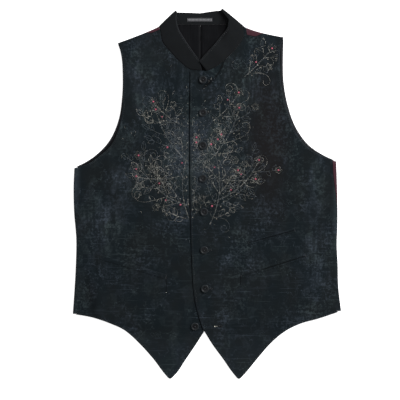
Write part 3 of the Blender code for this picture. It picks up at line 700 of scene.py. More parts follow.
class Cloth:
    """A sheet of four-sided faces, with the direction into its wall at every point."""

    def __init__(self):
        self.outer = []
        self.inward = []
        self.quads = []
        self.shade = {}
        self.cut = (0.0, 0.0)

    def point(self, place, inward):
        self.outer.append(hollow_shoulder(Vector(place)))
        self.inward.append(Vector(inward))
        return len(self.outer) - 1

    def weave(self, rows):
        """Faces between neighbouring rows of point numbers."""
        for row, following in zip(rows, rows[1:]):
            self.quads += zip(row, row[1:], following[1:], following)

    def free_edges(self):
        """Edges that only one face uses, each with that face's middle."""
        used = {}
        for quad in self.quads:
            for start, end in zip(quad, quad[1:] + quad[:1]):
                used.setdefault(frozenset((start, end)), []).append((start, end, quad))
        edges = [found[0] for found in used.values() if len(found) == 1]
        return [(start, end, sum((self.outer[i] for i in quad), Vector()) / 4) for start, end, quad in edges]

    def path_length(self, line):
        return sum((self.outer[b] - self.outer[a]).length for a, b in zip(line, line[1:]))

    def longest(self, lines):
        return max(self.path_length(line) for line in lines)

    def area(self):
        """Area of the cloth in square metres."""
        total = 0.0
        for a, b, c, d in self.quads:
            total += (self.outer[c] - self.outer[a]).cross(self.outer[d] - self.outer[b]).length / 2
        return total * MM * MM

    def piece(self, name, thickness, material, rim_round=RIM_ROUND):
        """The wall between the outer face and the same face moved inward, with rounded edges."""
        edges = self.free_edges()
        away, room = {}, {}
        for start, end, middle in edges:
            along = (self.outer[end] - self.outer[start]).normalized()
            out = (self.outer[start] + self.outer[end]) / 2 - middle
            out -= along * out.dot(along)
            for number in (start, end):
                away[number] = away.get(number, Vector()) + out.normalized()
                room[number] = min(room.get(number, thickness * rim_round), out.length * RIM_ROOM)
        outer = [place.copy() for place in self.outer]
        inner = [place + into * thickness for place, into in zip(self.outer, self.inward)]
        count = len(outer)
        middles, rim = [], {}
        for number, out in away.items():
            rim[number] = 2 * count + len(middles)
            middles.append((outer[number] + inner[number]) / 2)
            pull = out.normalized() * room[number]
            outer[number] -= pull
            inner[number] -= pull
        faces = self.quads + [tuple(count + i for i in reversed(quad)) for quad in self.quads]
        for start, end, _ in edges:
            faces.append((end, start, rim[start], rim[end]))
            faces.append((rim[end], rim[start], count + start, count + end))
        made = mesh_object(name, outer + inner + middles, faces, material)
        edge_values = dict.fromkeys(away, RIM_SHARE) | dict.fromkeys(rim.values(), 1.0)
        shade_values = {rim[number]: self.shade.get(number, 0.0) for number in away} | self.shade
        for label, values in (("edge", edge_values), ("shade", shade_values)):
            spread_values(made.data, label, [values.get(i, 0.0) for i in range(len(made.data.vertices))])
        return made


# Curves and sections


def smooth_through(points, steps, corners=()):
    """Points along a smooth curve through the given ones, straight into each corner."""
    chords = [max((b - a).length, 0.001) for a, b in zip(points, points[1:])]
    slopes = [(b - a) / chord for a, b, chord in zip(points, points[1:], chords)]

    def tangent(i, ahead):
        if i == 0:
            return slopes[0]
        if i == len(slopes):
            return slopes[-1]
        if i in corners:
            return slopes[i] if ahead else slopes[i - 1]
        before, after = chords[i - 1], chords[i]
        return (slopes[i - 1] * after + slopes[i] * before) / (before + after)

    curve = []
    for i, chord in enumerate(chords):
        leave, arrive = tangent(i, True) * chord, tangent(i + 1, False) * chord
        for step in range(steps[i]):
            t = step / steps[i]
            curve.append(points[i] * (2 * t ** 3 - 3 * t ** 2 + 1) + leave * (t ** 3 - 2 * t ** 2 + t)
                         + points[i + 1] * (3 * t ** 2 - 2 * t ** 3) + arrive * (t ** 3 - t ** 2))
    curve.append(points[-1].copy())
    return curve


Rows = namedtuple("Rows", "inner outer marks side_first side_last neck_first")


def rows_through(sections):
    """The rows of a panel: its two edges, the row of each section, and where its side and neckline start."""
    steps = [section.steps * ROW_DETAIL for section in sections]
    marks = [sum(steps[:i]) for i in range(len(sections))]
    edges, corners = {}, {}
    for edge in ("inner", "outer"):
        points = [Vector((getattr(s, edge + "_x"), getattr(s, edge + "_y"))) for s in sections]
        corners[edge] = [i for i, s in enumerate(sections) if s.corner == edge]
        edges[edge] = smooth_through(points, steps, corners[edge])
    side = [marks[i] for i in corners["outer"]]
    return Rows(edges["inner"], edges["outer"], marks, side[0], side[1], marks[corners["inner"][0]])


def back_rows(sections, fold):
    """A half back's rows, the last one where the cloth starts to turn over the shoulder."""
    out = outward(fold) * TURN_RADIUS
    last = Section(fold.start_x - out.x, fold.start_y - out.y, fold.end_x - out.x, fold.end_y - out.y)
    return rows_through(sections + (last,))


def centre_edge(rows):
    """A front's free edge, from its point up to the neck."""
    return rows.inner[:rows.neck_first + 1]


def edge_x(edge, y):
    """Where an edge that runs upward is at a height, or its nearer end past it."""
    for low, high in zip(edge, edge[1:]):
        if low.y <= y <= high.y:
            return low.x + (high.x - low.x) * (y - low.y) / (high.y - low.y)
    return edge[0].x if y < edge[0].y else edge[-1].x


def turn_over(path):
    """How far out and how far round in height a cloth is after the given path past the start of a half
    turn, and the direction into its wall as (out, height)."""
    angle = min(max(path / TURN_RADIUS, 0.0), math.pi)
    out = min(path, 0.0) + TURN_RADIUS * math.sin(angle) - max(path - HALF_TURN, 0.0)
    return out, TURN_RADIUS * (1 - math.cos(angle)), (-math.sin(angle), math.cos(angle))


# Heights of the two fronts


def hem_y(x):
    """The back's hem under the fronts."""
    side = LEFT_BACK[0] if x > CENTRE_BACK_X else RIGHT_BACK[0]
    share = (x - side.inner_x) / (side.outer_x - side.inner_x)
    return side.inner_y + share * (side.outer_y - side.inner_y)


def ridge_height(ridges, x, y):
    """Height of the soft folds at a place."""
    height = 0.0
    for ridge in ridges:
        line_x, line_y = ridge.end_x - ridge.start_x, ridge.end_y - ridge.start_y
        away_x, away_y = x - ridge.start_x, y - ridge.start_y
        length_squared = line_x * line_x + line_y * line_y
        along = (away_x * line_x + away_y * line_y) / length_squared
        if 0 < along < 1:
            across = (away_x * line_y - away_y * line_x) / math.sqrt(length_squared)
            height += ridge.height * math.sin(math.pi * along) ** 2 * bell(across / ridge.width)
    return height


def calm(x, y):
    """1 where the cloth lies loose, fading to 0 at the sides, the shoulder seams and the buttons."""
    share = smooth_step((SIDE_CALM_X - abs(x)) / CALM_REACH)
    for sections in (RIGHT_FRONT, LEFT_FRONT):
        seam = sections[-1]
        line = Vector((seam.outer_x - seam.inner_x, seam.outer_y - seam.inner_y))
        below = abs(Vector((x - seam.inner_x, y - seam.inner_y)).cross(line)) / line.length
        if x * seam.outer_x > 0:
            share *= smooth_step(below / CALM_REACH)
    for place in BUTTON_PLACES:
        near = math.hypot(x - place.x, y - place.y)
        if near < 3 * BUTTON_CALM:
            share *= 1 - bell((near / BUTTON_CALM) ** 2)
    return share


def wrinkles(x, y):
    """Loose, uneven rise of the cloth."""
    waves = [noise.noise(Vector((x / wave.across, y / wave.along, wave.seed))) * wave.rise
             for wave in WRINKLES]
    return sum(waves, PUFF) + ridge_height(FRONT_CREASES, x, y)


def right_front_height(x, y):
    """Outer face of the front that lies on the back, or on the surface below the back's hem."""
    sunk = smooth_step((hem_y(x) - y - HEM_CLEAR) / HEM_FALL)
    flat = STACK_TOP - sunk * (STACK_TOP - FRONT_THICK) + ridge_height(FRONT_RIDGES, x, y)
    return flat + calm(x, y) * (1 - HEM_CALM * sunk) * wrinkles(x, y)


def left_front_height(x, y):
    """The left front's outer face, raised where the right front lies under it."""
    past = (x - edge_x(centre_edge(fronts["right"]), y) - OVERLAP_REACH) / OVERLAP_FALL
    rise = OVERLAP_RISE * (1 - smooth_step(past))
    return right_front_height(x, y) + rise + ridge_height(LEFT_DRAG_RIDGES, x, y)


# Panels


def back_path(sign, y):
    """How far a back goes round its side: short of the turn on the right, and on the left over it to a seam
    on top, which slides onto the side lower down."""
    if sign < 0:
        return -RIGHT_SEAM_UNDER - SEAM_GAP
    over = smooth_step((y - LEFT_SEAM_LOW_Y) / (LEFT_SEAM_TOP_Y - LEFT_SEAM_LOW_Y))
    return LEFT_SEAM_LOW + over * (HALF_TURN + LEFT_SEAM_OVER - LEFT_SEAM_LOW)


def front_path(sign, y):
    """How far a front goes round its side, down to the seam with the back."""
    return HALF_TURN - back_path(sign, y) - SEAM_GAP


def side_rows(rows):
    return range(rows.side_first, rows.side_last + 1)


def front_panel(rows, side, height):
    """A front: a main grid, the strip that turns down over the side, and the top over the shoulder."""
    cloth = Cloth()
    shares = [(i / FRONT_COLUMNS) ** FRONT_CROWDING for i in range(FRONT_COLUMNS + 1)]
    grid = []
    for i, (inner, outer) in enumerate(zip(rows.inner, rows.outer)):
        edge = outer.copy()
        if i in side_rows(rows):
            edge.x -= side.sign * (TURN_RADIUS + SIDE_MARGIN)
        round_off = TIP_ROUND * max(0.0, 1 - i / ROW_DETAIL)
        places = [inner.lerp(edge, share) - Vector((0, round_off * math.sin(math.pi * share)))
                  for share in shares]
        grid.append([cloth.point((p.x, p.y, height(p.x, p.y)), DOWN) for p in places])
    cloth.weave(grid)
    strip = []
    for i in side_rows(rows):
        outer = rows.outer[i]
        reach = SIDE_MARGIN + front_path(side.sign, outer.y)
        line = [grid[i][-1]]
        proud = cloth.outer[line[0]].z - STACK_TOP
        for step in range(1, TURN_STEPS + 1):
            on = reach * step / TURN_STEPS
            out, drop, into = turn_over(on - SIDE_MARGIN)
            height_now = STACK_TOP - drop + proud * (1 - smooth_step(on / SIDE_MARGIN))
            place = (outer.x + side.sign * (out - TURN_RADIUS), outer.y, height_now)
            line.append(cloth.point(place, (side.sign * into[0], 0, -into[1])))
        strip.append(line)
    cloth.weave(strip)
    flap = [grid[-1]]
    for step in range(1, FLAP_STEPS + 1):
        line = []
        for number, share in zip(grid[-1], shares):
            edge, seam = shoulder_paths(side.shoulder, rows, share)
            path = edge + (seam - edge) * step / FLAP_STEPS
            line.append(shoulder_point(cloth, side.shoulder, share, path))
            cloth.outer[line[-1]].z += (cloth.outer[number].z - STACK_TOP) * (1 - step / FLAP_STEPS)
        flap.append(line)
    cloth.weave(flap)
    turned = [grid[i] + line[1:] for i, line in enumerate(strip, rows.side_first)]
    cloth.cut = (cloth.longest(turned), rows.inner[-1].y - rows.inner[0].y + SHOULDER_ALLOWANCE)
    return cloth


def shoulder_edge(fold, share):
    """Where the half turn over a shoulder starts, on the underside."""
    return start_of(fold).lerp(end_of(fold), share) - outward(fold) * TURN_RADIUS


def shoulder_paths(fold, front_rows, share):
    """Paths round the shoulder to the front's own edge, and to the seam that shows near the neck and slides
    over the shoulder towards the armhole."""
    edge = front_rows.inner[-1].lerp(front_rows.outer[-1], share)
    edge_path = HALF_TURN - (edge - shoulder_edge(fold, share)).dot(outward(fold))
    climb = SEAM_CLIMBS[fold]
    on_top = smooth_step((share - climb.starts) / (climb.up - climb.starts))
    on_top *= smooth_step((climb.down - share) / (climb.down - climb.leaves))
    return edge_path, edge_path + (SHOULDER_SEAM_LOW * HALF_TURN - edge_path) * (1 - on_top)


def shoulder_point(cloth, fold, share, path):
    out = outward(fold)
    reach, rise, into = turn_over(path)
    place = shoulder_edge(fold, share) + out * reach
    return cloth.point((place.x, place.y, rise), (out.x * into[0], out.y * into[0], into[1]))


def back_panel(rows, side, front_rows):
    """A half back: its main grid, the strip that turns up over a side, and the flap over the shoulder."""
    cloth = Cloth()
    shares = [i / BACK_COLUMNS for i in range(BACK_COLUMNS + 1)]
    grid = []
    for i, (inner, outer) in enumerate(zip(rows.inner, rows.outer)):
        start, edge = inner.copy(), outer.copy()
        if i <= rows.neck_first:
            start.x += side.sign * SEAM_GAP / 2
        if i in side_rows(rows):
            edge.x += side.sign * (min(back_path(side.sign, outer.y), 0) - TURN_RADIUS)
        places = [start.lerp(edge, share) for share in shares]
        grid.append([cloth.point((p.x, p.y, 0), UP) for p in places])
    cloth.weave(grid)
    strip = []
    for i in side_rows(rows):
        outer = rows.outer[i]
        reach = back_path(side.sign, outer.y)
        if reach > 0:
            line = [grid[i][-1]]
            for step in range(1, TURN_STEPS + 1):
                out, rise, into = turn_over(reach * step / TURN_STEPS)
                place = (outer.x + side.sign * (out - TURN_RADIUS), outer.y, rise)
                line.append(cloth.point(place, (side.sign * into[0], 0, into[1])))
            strip.append(line)
    cloth.weave(strip)
    flap = [grid[-1]]
    for step in range(1, FLAP_STEPS + 1):
        line = []
        for share in shares:
            seam = shoulder_paths(side.shoulder, front_rows, share)[1] - SEAM_GAP
            line.append(shoulder_point(cloth, side.shoulder, share, seam * step / FLAP_STEPS))
        flap.append(line)
    cloth.weave(flap)
    over_shoulder = cloth.path_length([line[0] for line in flap])
    turned = [grid[i] + line[1:] for i, line in enumerate(strip, rows.side_first)] + [grid[rows.side_first]]
    cloth.cut = (cloth.longest(turned), max(p.y for p in rows.inner) - rows.inner[0].y + over_shoulder)
    return cloth


def neck_opening(place):
    """1 inside the neck, where the lining lies free, and 0 under the fronts and the collar's arms."""
    up, aside = place.y - NECK_POINT[1], NECK_SLOPE * (place.x - NECK_POINT[0])
    share = smooth_step((up - aside) / NECK_FADE) * smooth_step((up + aside) / NECK_FADE)
    return share * smooth_step((NECK_TOP_Y - place.y) / NECK_TOP_FADE)


def lining_panel(rows, side):
    """A half of the lining: the half back again, a little smaller and one layer up."""
    cloth = Cloth()
    at_shoulder = outward(side.shoulder) * LINING_SHOULDER_INSET
    grid = []
    for i, (inner, outer) in enumerate(zip(rows.inner, rows.outer)):
        start, edge = inner.copy(), outer.copy()
        if i <= rows.neck_first:
            start.x += side.sign * SEAM_GAP / 2
        if i in side_rows(rows):
            edge.x -= side.sign * (TURN_RADIUS + LINING_SIDE_INSET)
        elif i < len(rows.inner) - 1:
            edge += (start - edge).normalized() * LINING_ARM_INSET
        else:
            start -= at_shoulder
            edge -= at_shoulder
        line = []
        for j in range(LINING_COLUMNS + 1):
            place = start.lerp(edge, j / LINING_COLUMNS)
            loose = smooth_step((start - place).length / LINING_LOOSE_REACH) * neck_opening(place)
            rise = loose * ridge_height(LINING_RIDGES, place.x, place.y)
            line.append(cloth.point((place.x, place.y, LINING_TOP + rise), DOWN))
        grid.append(line)
    cloth.weave(grid)
    cloth.cut = (cloth.path_length(grid[0]), max(p.y for p in rows.inner) - rows.inner[0].y)
    return cloth


# Collar


def quarter_rise(share):
    """The collar's soft roll from its seam to its top edge."""
    return math.sin(share * math.pi / 2)



def collar_row(cloth, seam, top, seam_z, top_z, into):
    """One row across the collar, from its seam to its top edge."""
    line = []
    for share in COLLAR_SHARES:
        place = seam.lerp(top, share)
        height = seam_z + (top_z - seam_z) * quarter_rise(share)
        line.append(cloth.point((place.x, place.y, height), into))
        # The share across is kept as shade, so that the finish paints its edge highlight on the top edge
        # only
        cloth.shade[line[-1]] = share
    return line


def collar_top(tops, rows):
    """The top edge through the given places, with a point for each row of the neckline."""
    marks = rows.marks[-len(tops):]
    steps = [b - a for a, b in zip(marks, marks[1:])]
    return marks[0], smooth_through([Vector(top) for top in tops], steps)


def collar_arm(cloth, side, rows, height):
    """The rows along a front's neckline, from the centre front to the shoulder."""
    first, top_edge = collar_top(side.arm_tops, rows)
    lines = []
    for i, (edge, top) in enumerate(zip(rows.inner[first:], top_edge)):
        seam = edge + (top - edge).normalized() * COLLAR_GAP
        share = i / (len(top_edge) - 1)
        lift = COLLAR_END_LIFT + share * (2 * COLLAR_TOP_RADIUS - STACK_TOP - COLLAR_END_LIFT)
        seam_z = height(edge.x, edge.y)
        lines.append(collar_row(cloth, seam, top, seam_z, seam_z + lift, DOWN))
    return lines


def collar_turn(cloth, fold):
    """The rows of a half turn at the side of the neck, from the arm down to the back."""
    along, out = fold_frame(fold)
    seam = start_of(fold) + along * COLLAR_CORNER_CLEAR - out * TURN_RADIUS
    top = end_of(fold) - out * COLLAR_TOP_RADIUS
    lines = []
    for step in range(TURN_STEPS + 1):
        angle = math.pi * step / TURN_STEPS
        line = []
        for share in COLLAR_SHARES:
            radius = TURN_RADIUS + (COLLAR_TOP_RADIUS - TURN_RADIUS) * quarter_rise(share)
            place = seam.lerp(top, share) + out * radius * math.sin(angle)
            into = (-out.x * math.sin(angle), -out.y * math.sin(angle), -math.cos(angle))
            line.append(cloth.point((place.x, place.y, radius * (1 + math.cos(angle))), into))
        lines.append(line)
    return lines


def collar_back(cloth, side, rows):
    """The rows along half of the back neck, from the centre back to the side of the neck."""
    fold = side.collar_fold
    out = outward(fold) * COLLAR_TOP_RADIUS
    tops = (COLLAR_CENTRE_TOP, side.back_top, (fold.end_x - out.x, fold.end_y - out.y))
    top_edge = collar_top(tops, rows)[1]
    lines = []
    for edge, top in list(zip(rows.inner[rows.neck_first:], top_edge))[:-1]:
        seam = edge + Vector((0, COLLAR_GAP))
        lines.append(collar_row(cloth, seam, top, 0, 0, UP))
    return lines


def collar_band():
    """The whole stand collar, from the right end round the back of the neck to the left end."""
    cloth = Cloth()
    arms = {name: collar_arm(cloth, side, fronts[name], heights[name]) for name, side in SIDES.items()}
    turns = {name: collar_turn(cloth, side.collar_fold) for name, side in SIDES.items()}
    halves = {name: collar_back(cloth, side, backs[name]) for name, side in SIDES.items()}
    band = arms["right"] + turns["right"] + halves["right"][::-1]
    band += halves["left"][1:] + turns["left"][::-1] + arms["left"][::-1]
    cloth.weave(band)
    long_edges = [[line[j] for line in band] for j in (0, -1)]
    cloth.cut = (cloth.longest(long_edges), cloth.longest(band))
    return cloth


# Feeling for a piece from above


def surface_of(piece):
    """The piece's faces in millimetres, ready to be felt from above."""
    places = [vertex.co / MM - SHIFT for vertex in piece.data.vertices]
    return BVHTree.FromPolygons(places, [polygon.vertices[:] for polygon in piece.data.polygons])


def height_on(surface, place):
    """The face's height, or None past its edge."""
    found = surface.ray_cast(Vector((place.x, place.y, ABOVE_ALL)), DOWN)[0]
    return found.z if found is not None else None


def laid(surface, place, lift=0.0):
    """The place on the face, lifted a little, or None past its edge."""
    height = height_on(surface, place)
    return Vector((place.x, place.y, height + lift)) if height is not None else None


# Small closed shapes


def ring_places(centre, radius, height, count):
    """Places round an upright axis."""
    for i in range(count):
        turn = 2 * math.pi * i / count
        yield Vector((centre[0] + radius * math.cos(turn), centre[1] + radius * math.sin(turn), height))


def bead(centre, radius, height, seat):
    """A low dome, such as a knot of thread: its points and faces, closed below."""
    places = [Vector((centre[0], centre[1], seat + height))]
    for ring in range(1, KNOT_RINGS + 1):
        angle = math.pi / 2 * ring / KNOT_RINGS
        ring_height = seat + height * math.cos(angle)
        places += ring_places(centre, radius * math.sin(angle), ring_height, KNOT_SEGMENTS)
    faces = []
    for i in range(KNOT_SEGMENTS):
        j = (i + 1) % KNOT_SEGMENTS
        faces.append((0, 1 + i, 1 + j))
        for low in range(1, 1 + (KNOT_RINGS - 1) * KNOT_SEGMENTS, KNOT_SEGMENTS):
            faces.append((low + i, low + KNOT_SEGMENTS + i, low + KNOT_SEGMENTS + j, low + j))
    faces.append(tuple(1 + (KNOT_RINGS - 1) * KNOT_SEGMENTS + i for i in reversed(range(KNOT_SEGMENTS))))
    return places, faces


class Pile:
    """Many small closed shapes gathered into one mesh."""

    def __init__(self):
        self.places = []
        self.faces = []

    def add(self, places, faces):
        first = len(self.places)
        self.places += places
        self.faces += [tuple(first + i for i in face) for face in faces]

    def stitch(self, start, end, radius=STITCH_RADIUS, rise=0.0):
        """One short thread from start to end, thickest in the middle."""
        side = (end - start).cross(UP).normalized() * radius
        lift = UP * radius
        middle = (start + end) / 2 + UP * rise
        near, far = start.lerp(middle, 0.5), middle.lerp(end, 0.5)
        ring = [centre + away for centre in (near, far) for away in (side, lift, -side, -lift)]
        faces = [(0, 1 + (i + 1) % 4, 1 + i) for i in range(4)]
        faces += [(1 + i, 1 + (i + 1) % 4, 5 + (i + 1) % 4, 5 + i) for i in range(4)]
        faces += [(5 + i, 5 + (i + 1) % 4, 9) for i in range(4)]
        self.add([start] + ring + [end], faces)

    def thread(self, path, width, height):
        """A raised thread along a path of points on the cloth: a three-sided closed bar."""
        if len(path) < 2:
            return
        places, faces = [], []
        for i, place in enumerate(path):
            along = path[min(i + 1, len(path) - 1)] - path[max(i - 1, 0)]
            side = Vector((-along.y, along.x, 0))
            side = side.normalized() * width / 2 if side.length > 0 else Vector((width / 2, 0, 0))
            places += [place - side, place + UP * height, place + side]
        last = 3 * (len(path) - 1)
        for low in range(0, last, 3):
            faces += [(low, low + 1, low + 4, low + 3), (low + 1, low + 2, low + 5, low + 4),
                      (low + 2, low, low + 3, low + 5)]
        faces += [(0, 2, 1), (last, last + 1, last + 2)]
        self.add(places, faces)

    def piece(self, name, material, slot):
        mesh_object(name, self.places, self.faces, material)


# Buttons


def hole_centres():
    for corner in range(4):
        turn = math.pi * (corner + 0.5) / 2
        yield Vector((math.cos(turn), math.sin(turn))) * HOLE_SPACING


def button_blank():
    """Places and faces of a button before it is drilled, turned about its axis."""
    places = [Vector((0, 0, BUTTON_PROFILE[0][1]))]
    for radius, height in BUTTON_PROFILE:
        places += ring_places((0, 0), radius, height, BUTTON_SEGMENTS)
    places.append(Vector((0, 0, BUTTON_PROFILE[-1][1])))
    faces = []
    for i in range(BUTTON_SEGMENTS):
        following = (i + 1) % BUTTON_SEGMENTS
        faces.append((0, 1 + following, 1 + i))
        for ring in range(len(BUTTON_PROFILE) - 1):
            low, high = 1 + ring * BUTTON_SEGMENTS, 1 + (ring + 1) * BUTTON_SEGMENTS
            faces.append((low + i, low + following, high + following, high + i))
        top = 1 + (len(BUTTON_PROFILE) - 1) * BUTTON_SEGMENTS
        faces.append((top + i, top + following, len(places) - 1))
    return places, faces


def drill_shape():
    """Places and faces of the four pins that cut a button's holes."""
    pins = Pile()
    ends = [tuple(reversed(range(HOLE_SEGMENTS))), tuple(range(HOLE_SEGMENTS, 2 * HOLE_SEGMENTS))]
    sides = []
    for i in range(HOLE_SEGMENTS):
        following = (i + 1) % HOLE_SEGMENTS
        sides.append((i, following, HOLE_SEGMENTS + following, HOLE_SEGMENTS + i))
    for centre in hole_centres():
        low = list(ring_places(centre, HOLE_RADIUS, DRILL_BOTTOM, HOLE_SEGMENTS))
        high = list(ring_places(centre, HOLE_RADIUS, DRILL_TOP, HOLE_SEGMENTS))
        pins.add(low + high, sides + ends)
    return pins.places, pins.faces


def button_mesh(material):
    """A drilled four-hole button, shared by all eight."""
    blank = linked("button_blank", closed_mesh("button_blank", *button_blank(), material))
    drill = linked("button_drill", closed_mesh("button_drill", *drill_shape(), material))
    cut = blank.modifiers.new("holes", "BOOLEAN")
    cut.operation = "DIFFERENCE"
    cut.object = drill
    drilled = bpy.data.meshes.new_from_object(blank.evaluated_get(bpy.context.evaluated_depsgraph_get()))
    bpy.data.objects.remove(blank)
    bpy.data.objects.remove(drill)
    drilled.shade_smooth()
    drilled.set_sharp_from_angle(angle=math.radians(BUTTON_SHARP_ANGLE))
    # Painted highlight rings on the rim and round the dish
    wear_and_highlight = []
    for vertex in drilled.vertices:
        reach = vertex.co.xy.length / MM
        wear_and_highlight.append(max(bell((reach - RIM_HIGHLIGHT_RADIUS) / RING_WIDTH),
                        INNER_RING_SHARE * bell((reach - INNER_RING) / RING_WIDTH)))
    spread_values(drilled, "ring", wear_and_highlight)
    return drilled


def button_seat(place, surface):
    """Where a button lies on its front, tilted as the cloth is there."""
    steps = (-1, 0, 1)
    heights = {(step_x, step_y): height_on(surface, Vector((place.x + step_x * BUTTON_RADIUS,
                                                            place.y + step_y * BUTTON_RADIUS)))
               for step_x in steps for step_y in steps}
    slope_x = (heights[1, 0] - heights[-1, 0]) / (2 * BUTTON_RADIUS)
    slope_y = (heights[0, 1] - heights[0, -1]) / (2 * BUTTON_RADIUS)
    proud = max(height - (step_x * slope_x + step_y * slope_y) * BUTTON_RADIUS
                for (step_x, step_y), height in heights.items())
    tilt = UP.rotation_difference(Vector((-slope_x, -slope_y, 1)))
    return Matrix.Translation((place.x, place.y, proud + BUTTON_SEAT_GAP)) @ tilt.to_matrix().to_4x4()


def thread_button(pile, seat):
    """Two crossed bundles of thread through a button's holes."""
    centres = list(hole_centres())
    height = BUTTON_PROFILE[-1][1] - THREAD_SUNK
    for first, second in ((0, 2), (1, 3)):
        across = (centres[second] - centres[first]).normalized()
        beside = Vector((-across.y, across.x))
        for step in (-1, 0, 1):
            shift = beside * step * THREAD_BESIDE
            ends = [seat @ Vector((*(centres[hole] + shift), height)) for hole in (first, second)]
            pile.stitch(*ends, THREAD_RADIUS, THREAD_RISE + CROSSED_RISE * first)


def sew_buttons():
    """All buttons in their places, and the threads that hold them."""
    shared = button_mesh(button_finish())
    threads = Pile()
    for number, (place, turn) in enumerate(zip(BUTTON_PLACES, BUTTON_TURNS), 1):
        seat = button_seat(place, surfaces[place.front]) @ Matrix.Rotation(turn, 4, "Z")
        thread_button(threads, seat)
        made = linked("sewn_button_%d" % number, shared.copy())
        made.data.transform(Matrix.Translation(SHIFT * MM) @ Matrix.Scale(MM, 4) @ seat
                            @ Matrix.Scale(1 / MM, 4))
        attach(made, "root")
        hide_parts("button_%d" % number)
    threads.piece("button_threads", thread_materials["dark"], "front_cloth")


# Sewing


def offset_line(points, inset, toward):
    """The line moved sideways by inset, to the side where toward lies."""
    moved = []
    for i, place in enumerate(points):
        along = points[min(i + 1, len(points) - 1)] - points[max(i - 1, 0)]
        side = Vector((-along.y, along.x)).normalized()
        if side.dot(toward - place) < 0:
            side = -side
        moved.append(place + side * inset)
    return moved


def walk(points, pitch):
    """Places at an even pitch along a line, each with the line's direction there."""
    travelled, due = 0.0, pitch / 2
    for a, b in zip(points, points[1:]):
        length = (b - a).length
        while length > 0 and due <= travelled + length:
            yield a.lerp(b, (due - travelled) / length), (b - a) / length
            due += pitch
        travelled += length


def sew_line(pile, points, surface):
    """A row of even stitches along a line on a piece's face."""
    for place, along in walk(points, STITCH_PITCH):
        ends = [laid(surface, place + along * STITCH_LENGTH / 2 * way) for way in (-1, 1)]
        if None not in ends:
            pile.stitch(*ends, rise=STITCH_RISE)


def sew_front_edges(pile, rows, surface):
    """Rows of stitches inside a front's centre edge, hem and armhole."""
    middle = Vector(((rows.inner[0].x + rows.outer[0].x) / 2, 0))
    edges = ((centre_edge(rows), middle), (rows.outer[:rows.side_first + 1], middle),
             (rows.outer[rows.side_last:], ARMHOLE_INSIDE))
    for edge, toward in edges:
        sew_line(pile, offset_line(edge, EDGE_STITCH_INSET, toward), surface)


def buttonhole(pile, slits, start, surface):
    """A worked buttonhole: close stitches round a dark slit, with a bar at each end."""
    end = start + Vector((HOLE_LENGTH, 0))
    along = (end - start).normalized()
    beside = Vector((-along.y, along.x))
    for step in range(int((end - start).length / PURL_PITCH) + 1):
        base = start + along * (step * PURL_PITCH)
        for side in (-1, 1):
            near, far = base + beside * side * SLIT_HALF, base + beside * side * PURL_REACH
            pile.stitch(laid(surface, near), laid(surface, far), rise=PURL_RISE)
    for place in (start - along * BAR_STEP, end + along * BAR_STEP):
        for step in (-1, 0, 1):
            base = place + along * step * BAR_STEP
            ends = (base - beside * PURL_REACH, base + beside * PURL_REACH)
            pile.stitch(*[laid(surface, end_now) for end_now in ends], rise=BAR_RISE)
    path = [laid(surface, start.lerp(end, step / SLIT_STEPS), -SEAM_SUNK) for step in range(SLIT_STEPS + 1)]
    slits.thread(path, SLIT_WIDTH, SLIT_HEIGHT)


def pocket_lips(pocket, surface):
    """Both lips of a pocket, each a rounded fold, with the mouth as a valley between, painted dark as shade.
    """
    start, end = sorted((start_of(pocket), end_of(pocket)), key=lambda place: place.x)
    along = (end - start).normalized()
    across = Vector((-along.y, along.x)) * pocket.width
    mouth = MOUTHS[pocket.name]
    cloth = Cloth()
    grid = []
    for step in range(LIP_STEPS + 1):
        share = step / LIP_STEPS
        fade = math.sqrt(max(0.0, 1 - abs(2 * share - 1) ** LIP_END_POWER))
        from_centre = share if pocket.front == "left" else 1 - share
        change = smooth_step((from_centre - mouth.change + MOUTH_CHANGE / 2) / MOUTH_CHANGE)
        opened = mouth.near + (mouth.far - mouth.near) * change
        ends = LIP_END_SHARE + (1 - LIP_END_SHARE) * fade
        line = []
        for j in range(LIP_ACROSS + 1):
            width = j / LIP_ACROSS
            place = start.lerp(end, share) + across * (width - 0.5)
            seat = height_on(surface, place) + LIP_SEAT
            valley = bell((width - 0.5) / LIP_VALLEY)
            hump = min(1.0, math.sin(math.pi * min(width, 1 - width) + LIP_SHOULDER))
            rise = LIP_HEIGHT * (LIP_FLAT + (1 - LIP_FLAT) * hump) * (1 - LIP_DIP * valley * opened) * ends
            number = cloth.point((place.x, place.y, seat + rise), DOWN * rise)
            # Painted shade in the mouth's valley
            cloth.shade[number] = valley * fade * opened
            line.append(number)
        grid.append(line)
    cloth.weave(grid)
    cloth.cut = (cloth.longest(zip(*grid)), cloth.longest(grid))
    return cloth


def pocket_tacks(pile, pocket, surface):
    """Dense bars of stitches that close a pocket's two ends."""
    start, end = start_of(pocket), end_of(pocket)
    along = (end - start).normalized()
    half = Vector((-along.y, along.x)) * pocket.width * TACK_REACH
    for corner, inward in ((start, along), (end, -along)):
        for step in range(TACK_BARS):
            base = corner + inward * (TACK_START + TACK_PITCH * step)
            ends = [laid(surface, place, TACK_LIFT) for place in (base - half, base + half)]
            pile.stitch(*ends, rise=TACK_RISE)


def lay_edge_shadow_strip(pile, rows, under_surface):
    """A dark strip standing for the shadow under the upper front's edge, laid on the lower front."""
    path = [laid(under_surface, place, -SEAM_SUNK) for place in centre_edge(rows)[::2]]
    pile.thread([place for place in path if place is not None], EDGE_SHADOW_WIDTH, EDGE_SHADOW_PROUD)


def sew_dart(pile, dart, surface):
    """A dart's closed seam."""
    start, end = start_of(dart), end_of(dart)
    count = int((end - start).length / DART_STEP)
    path = [laid(surface, start.lerp(end, step / count), -SEAM_SUNK) for step in range(count + 1)]
    pile.thread(path, dart.width, DART_HEIGHT)


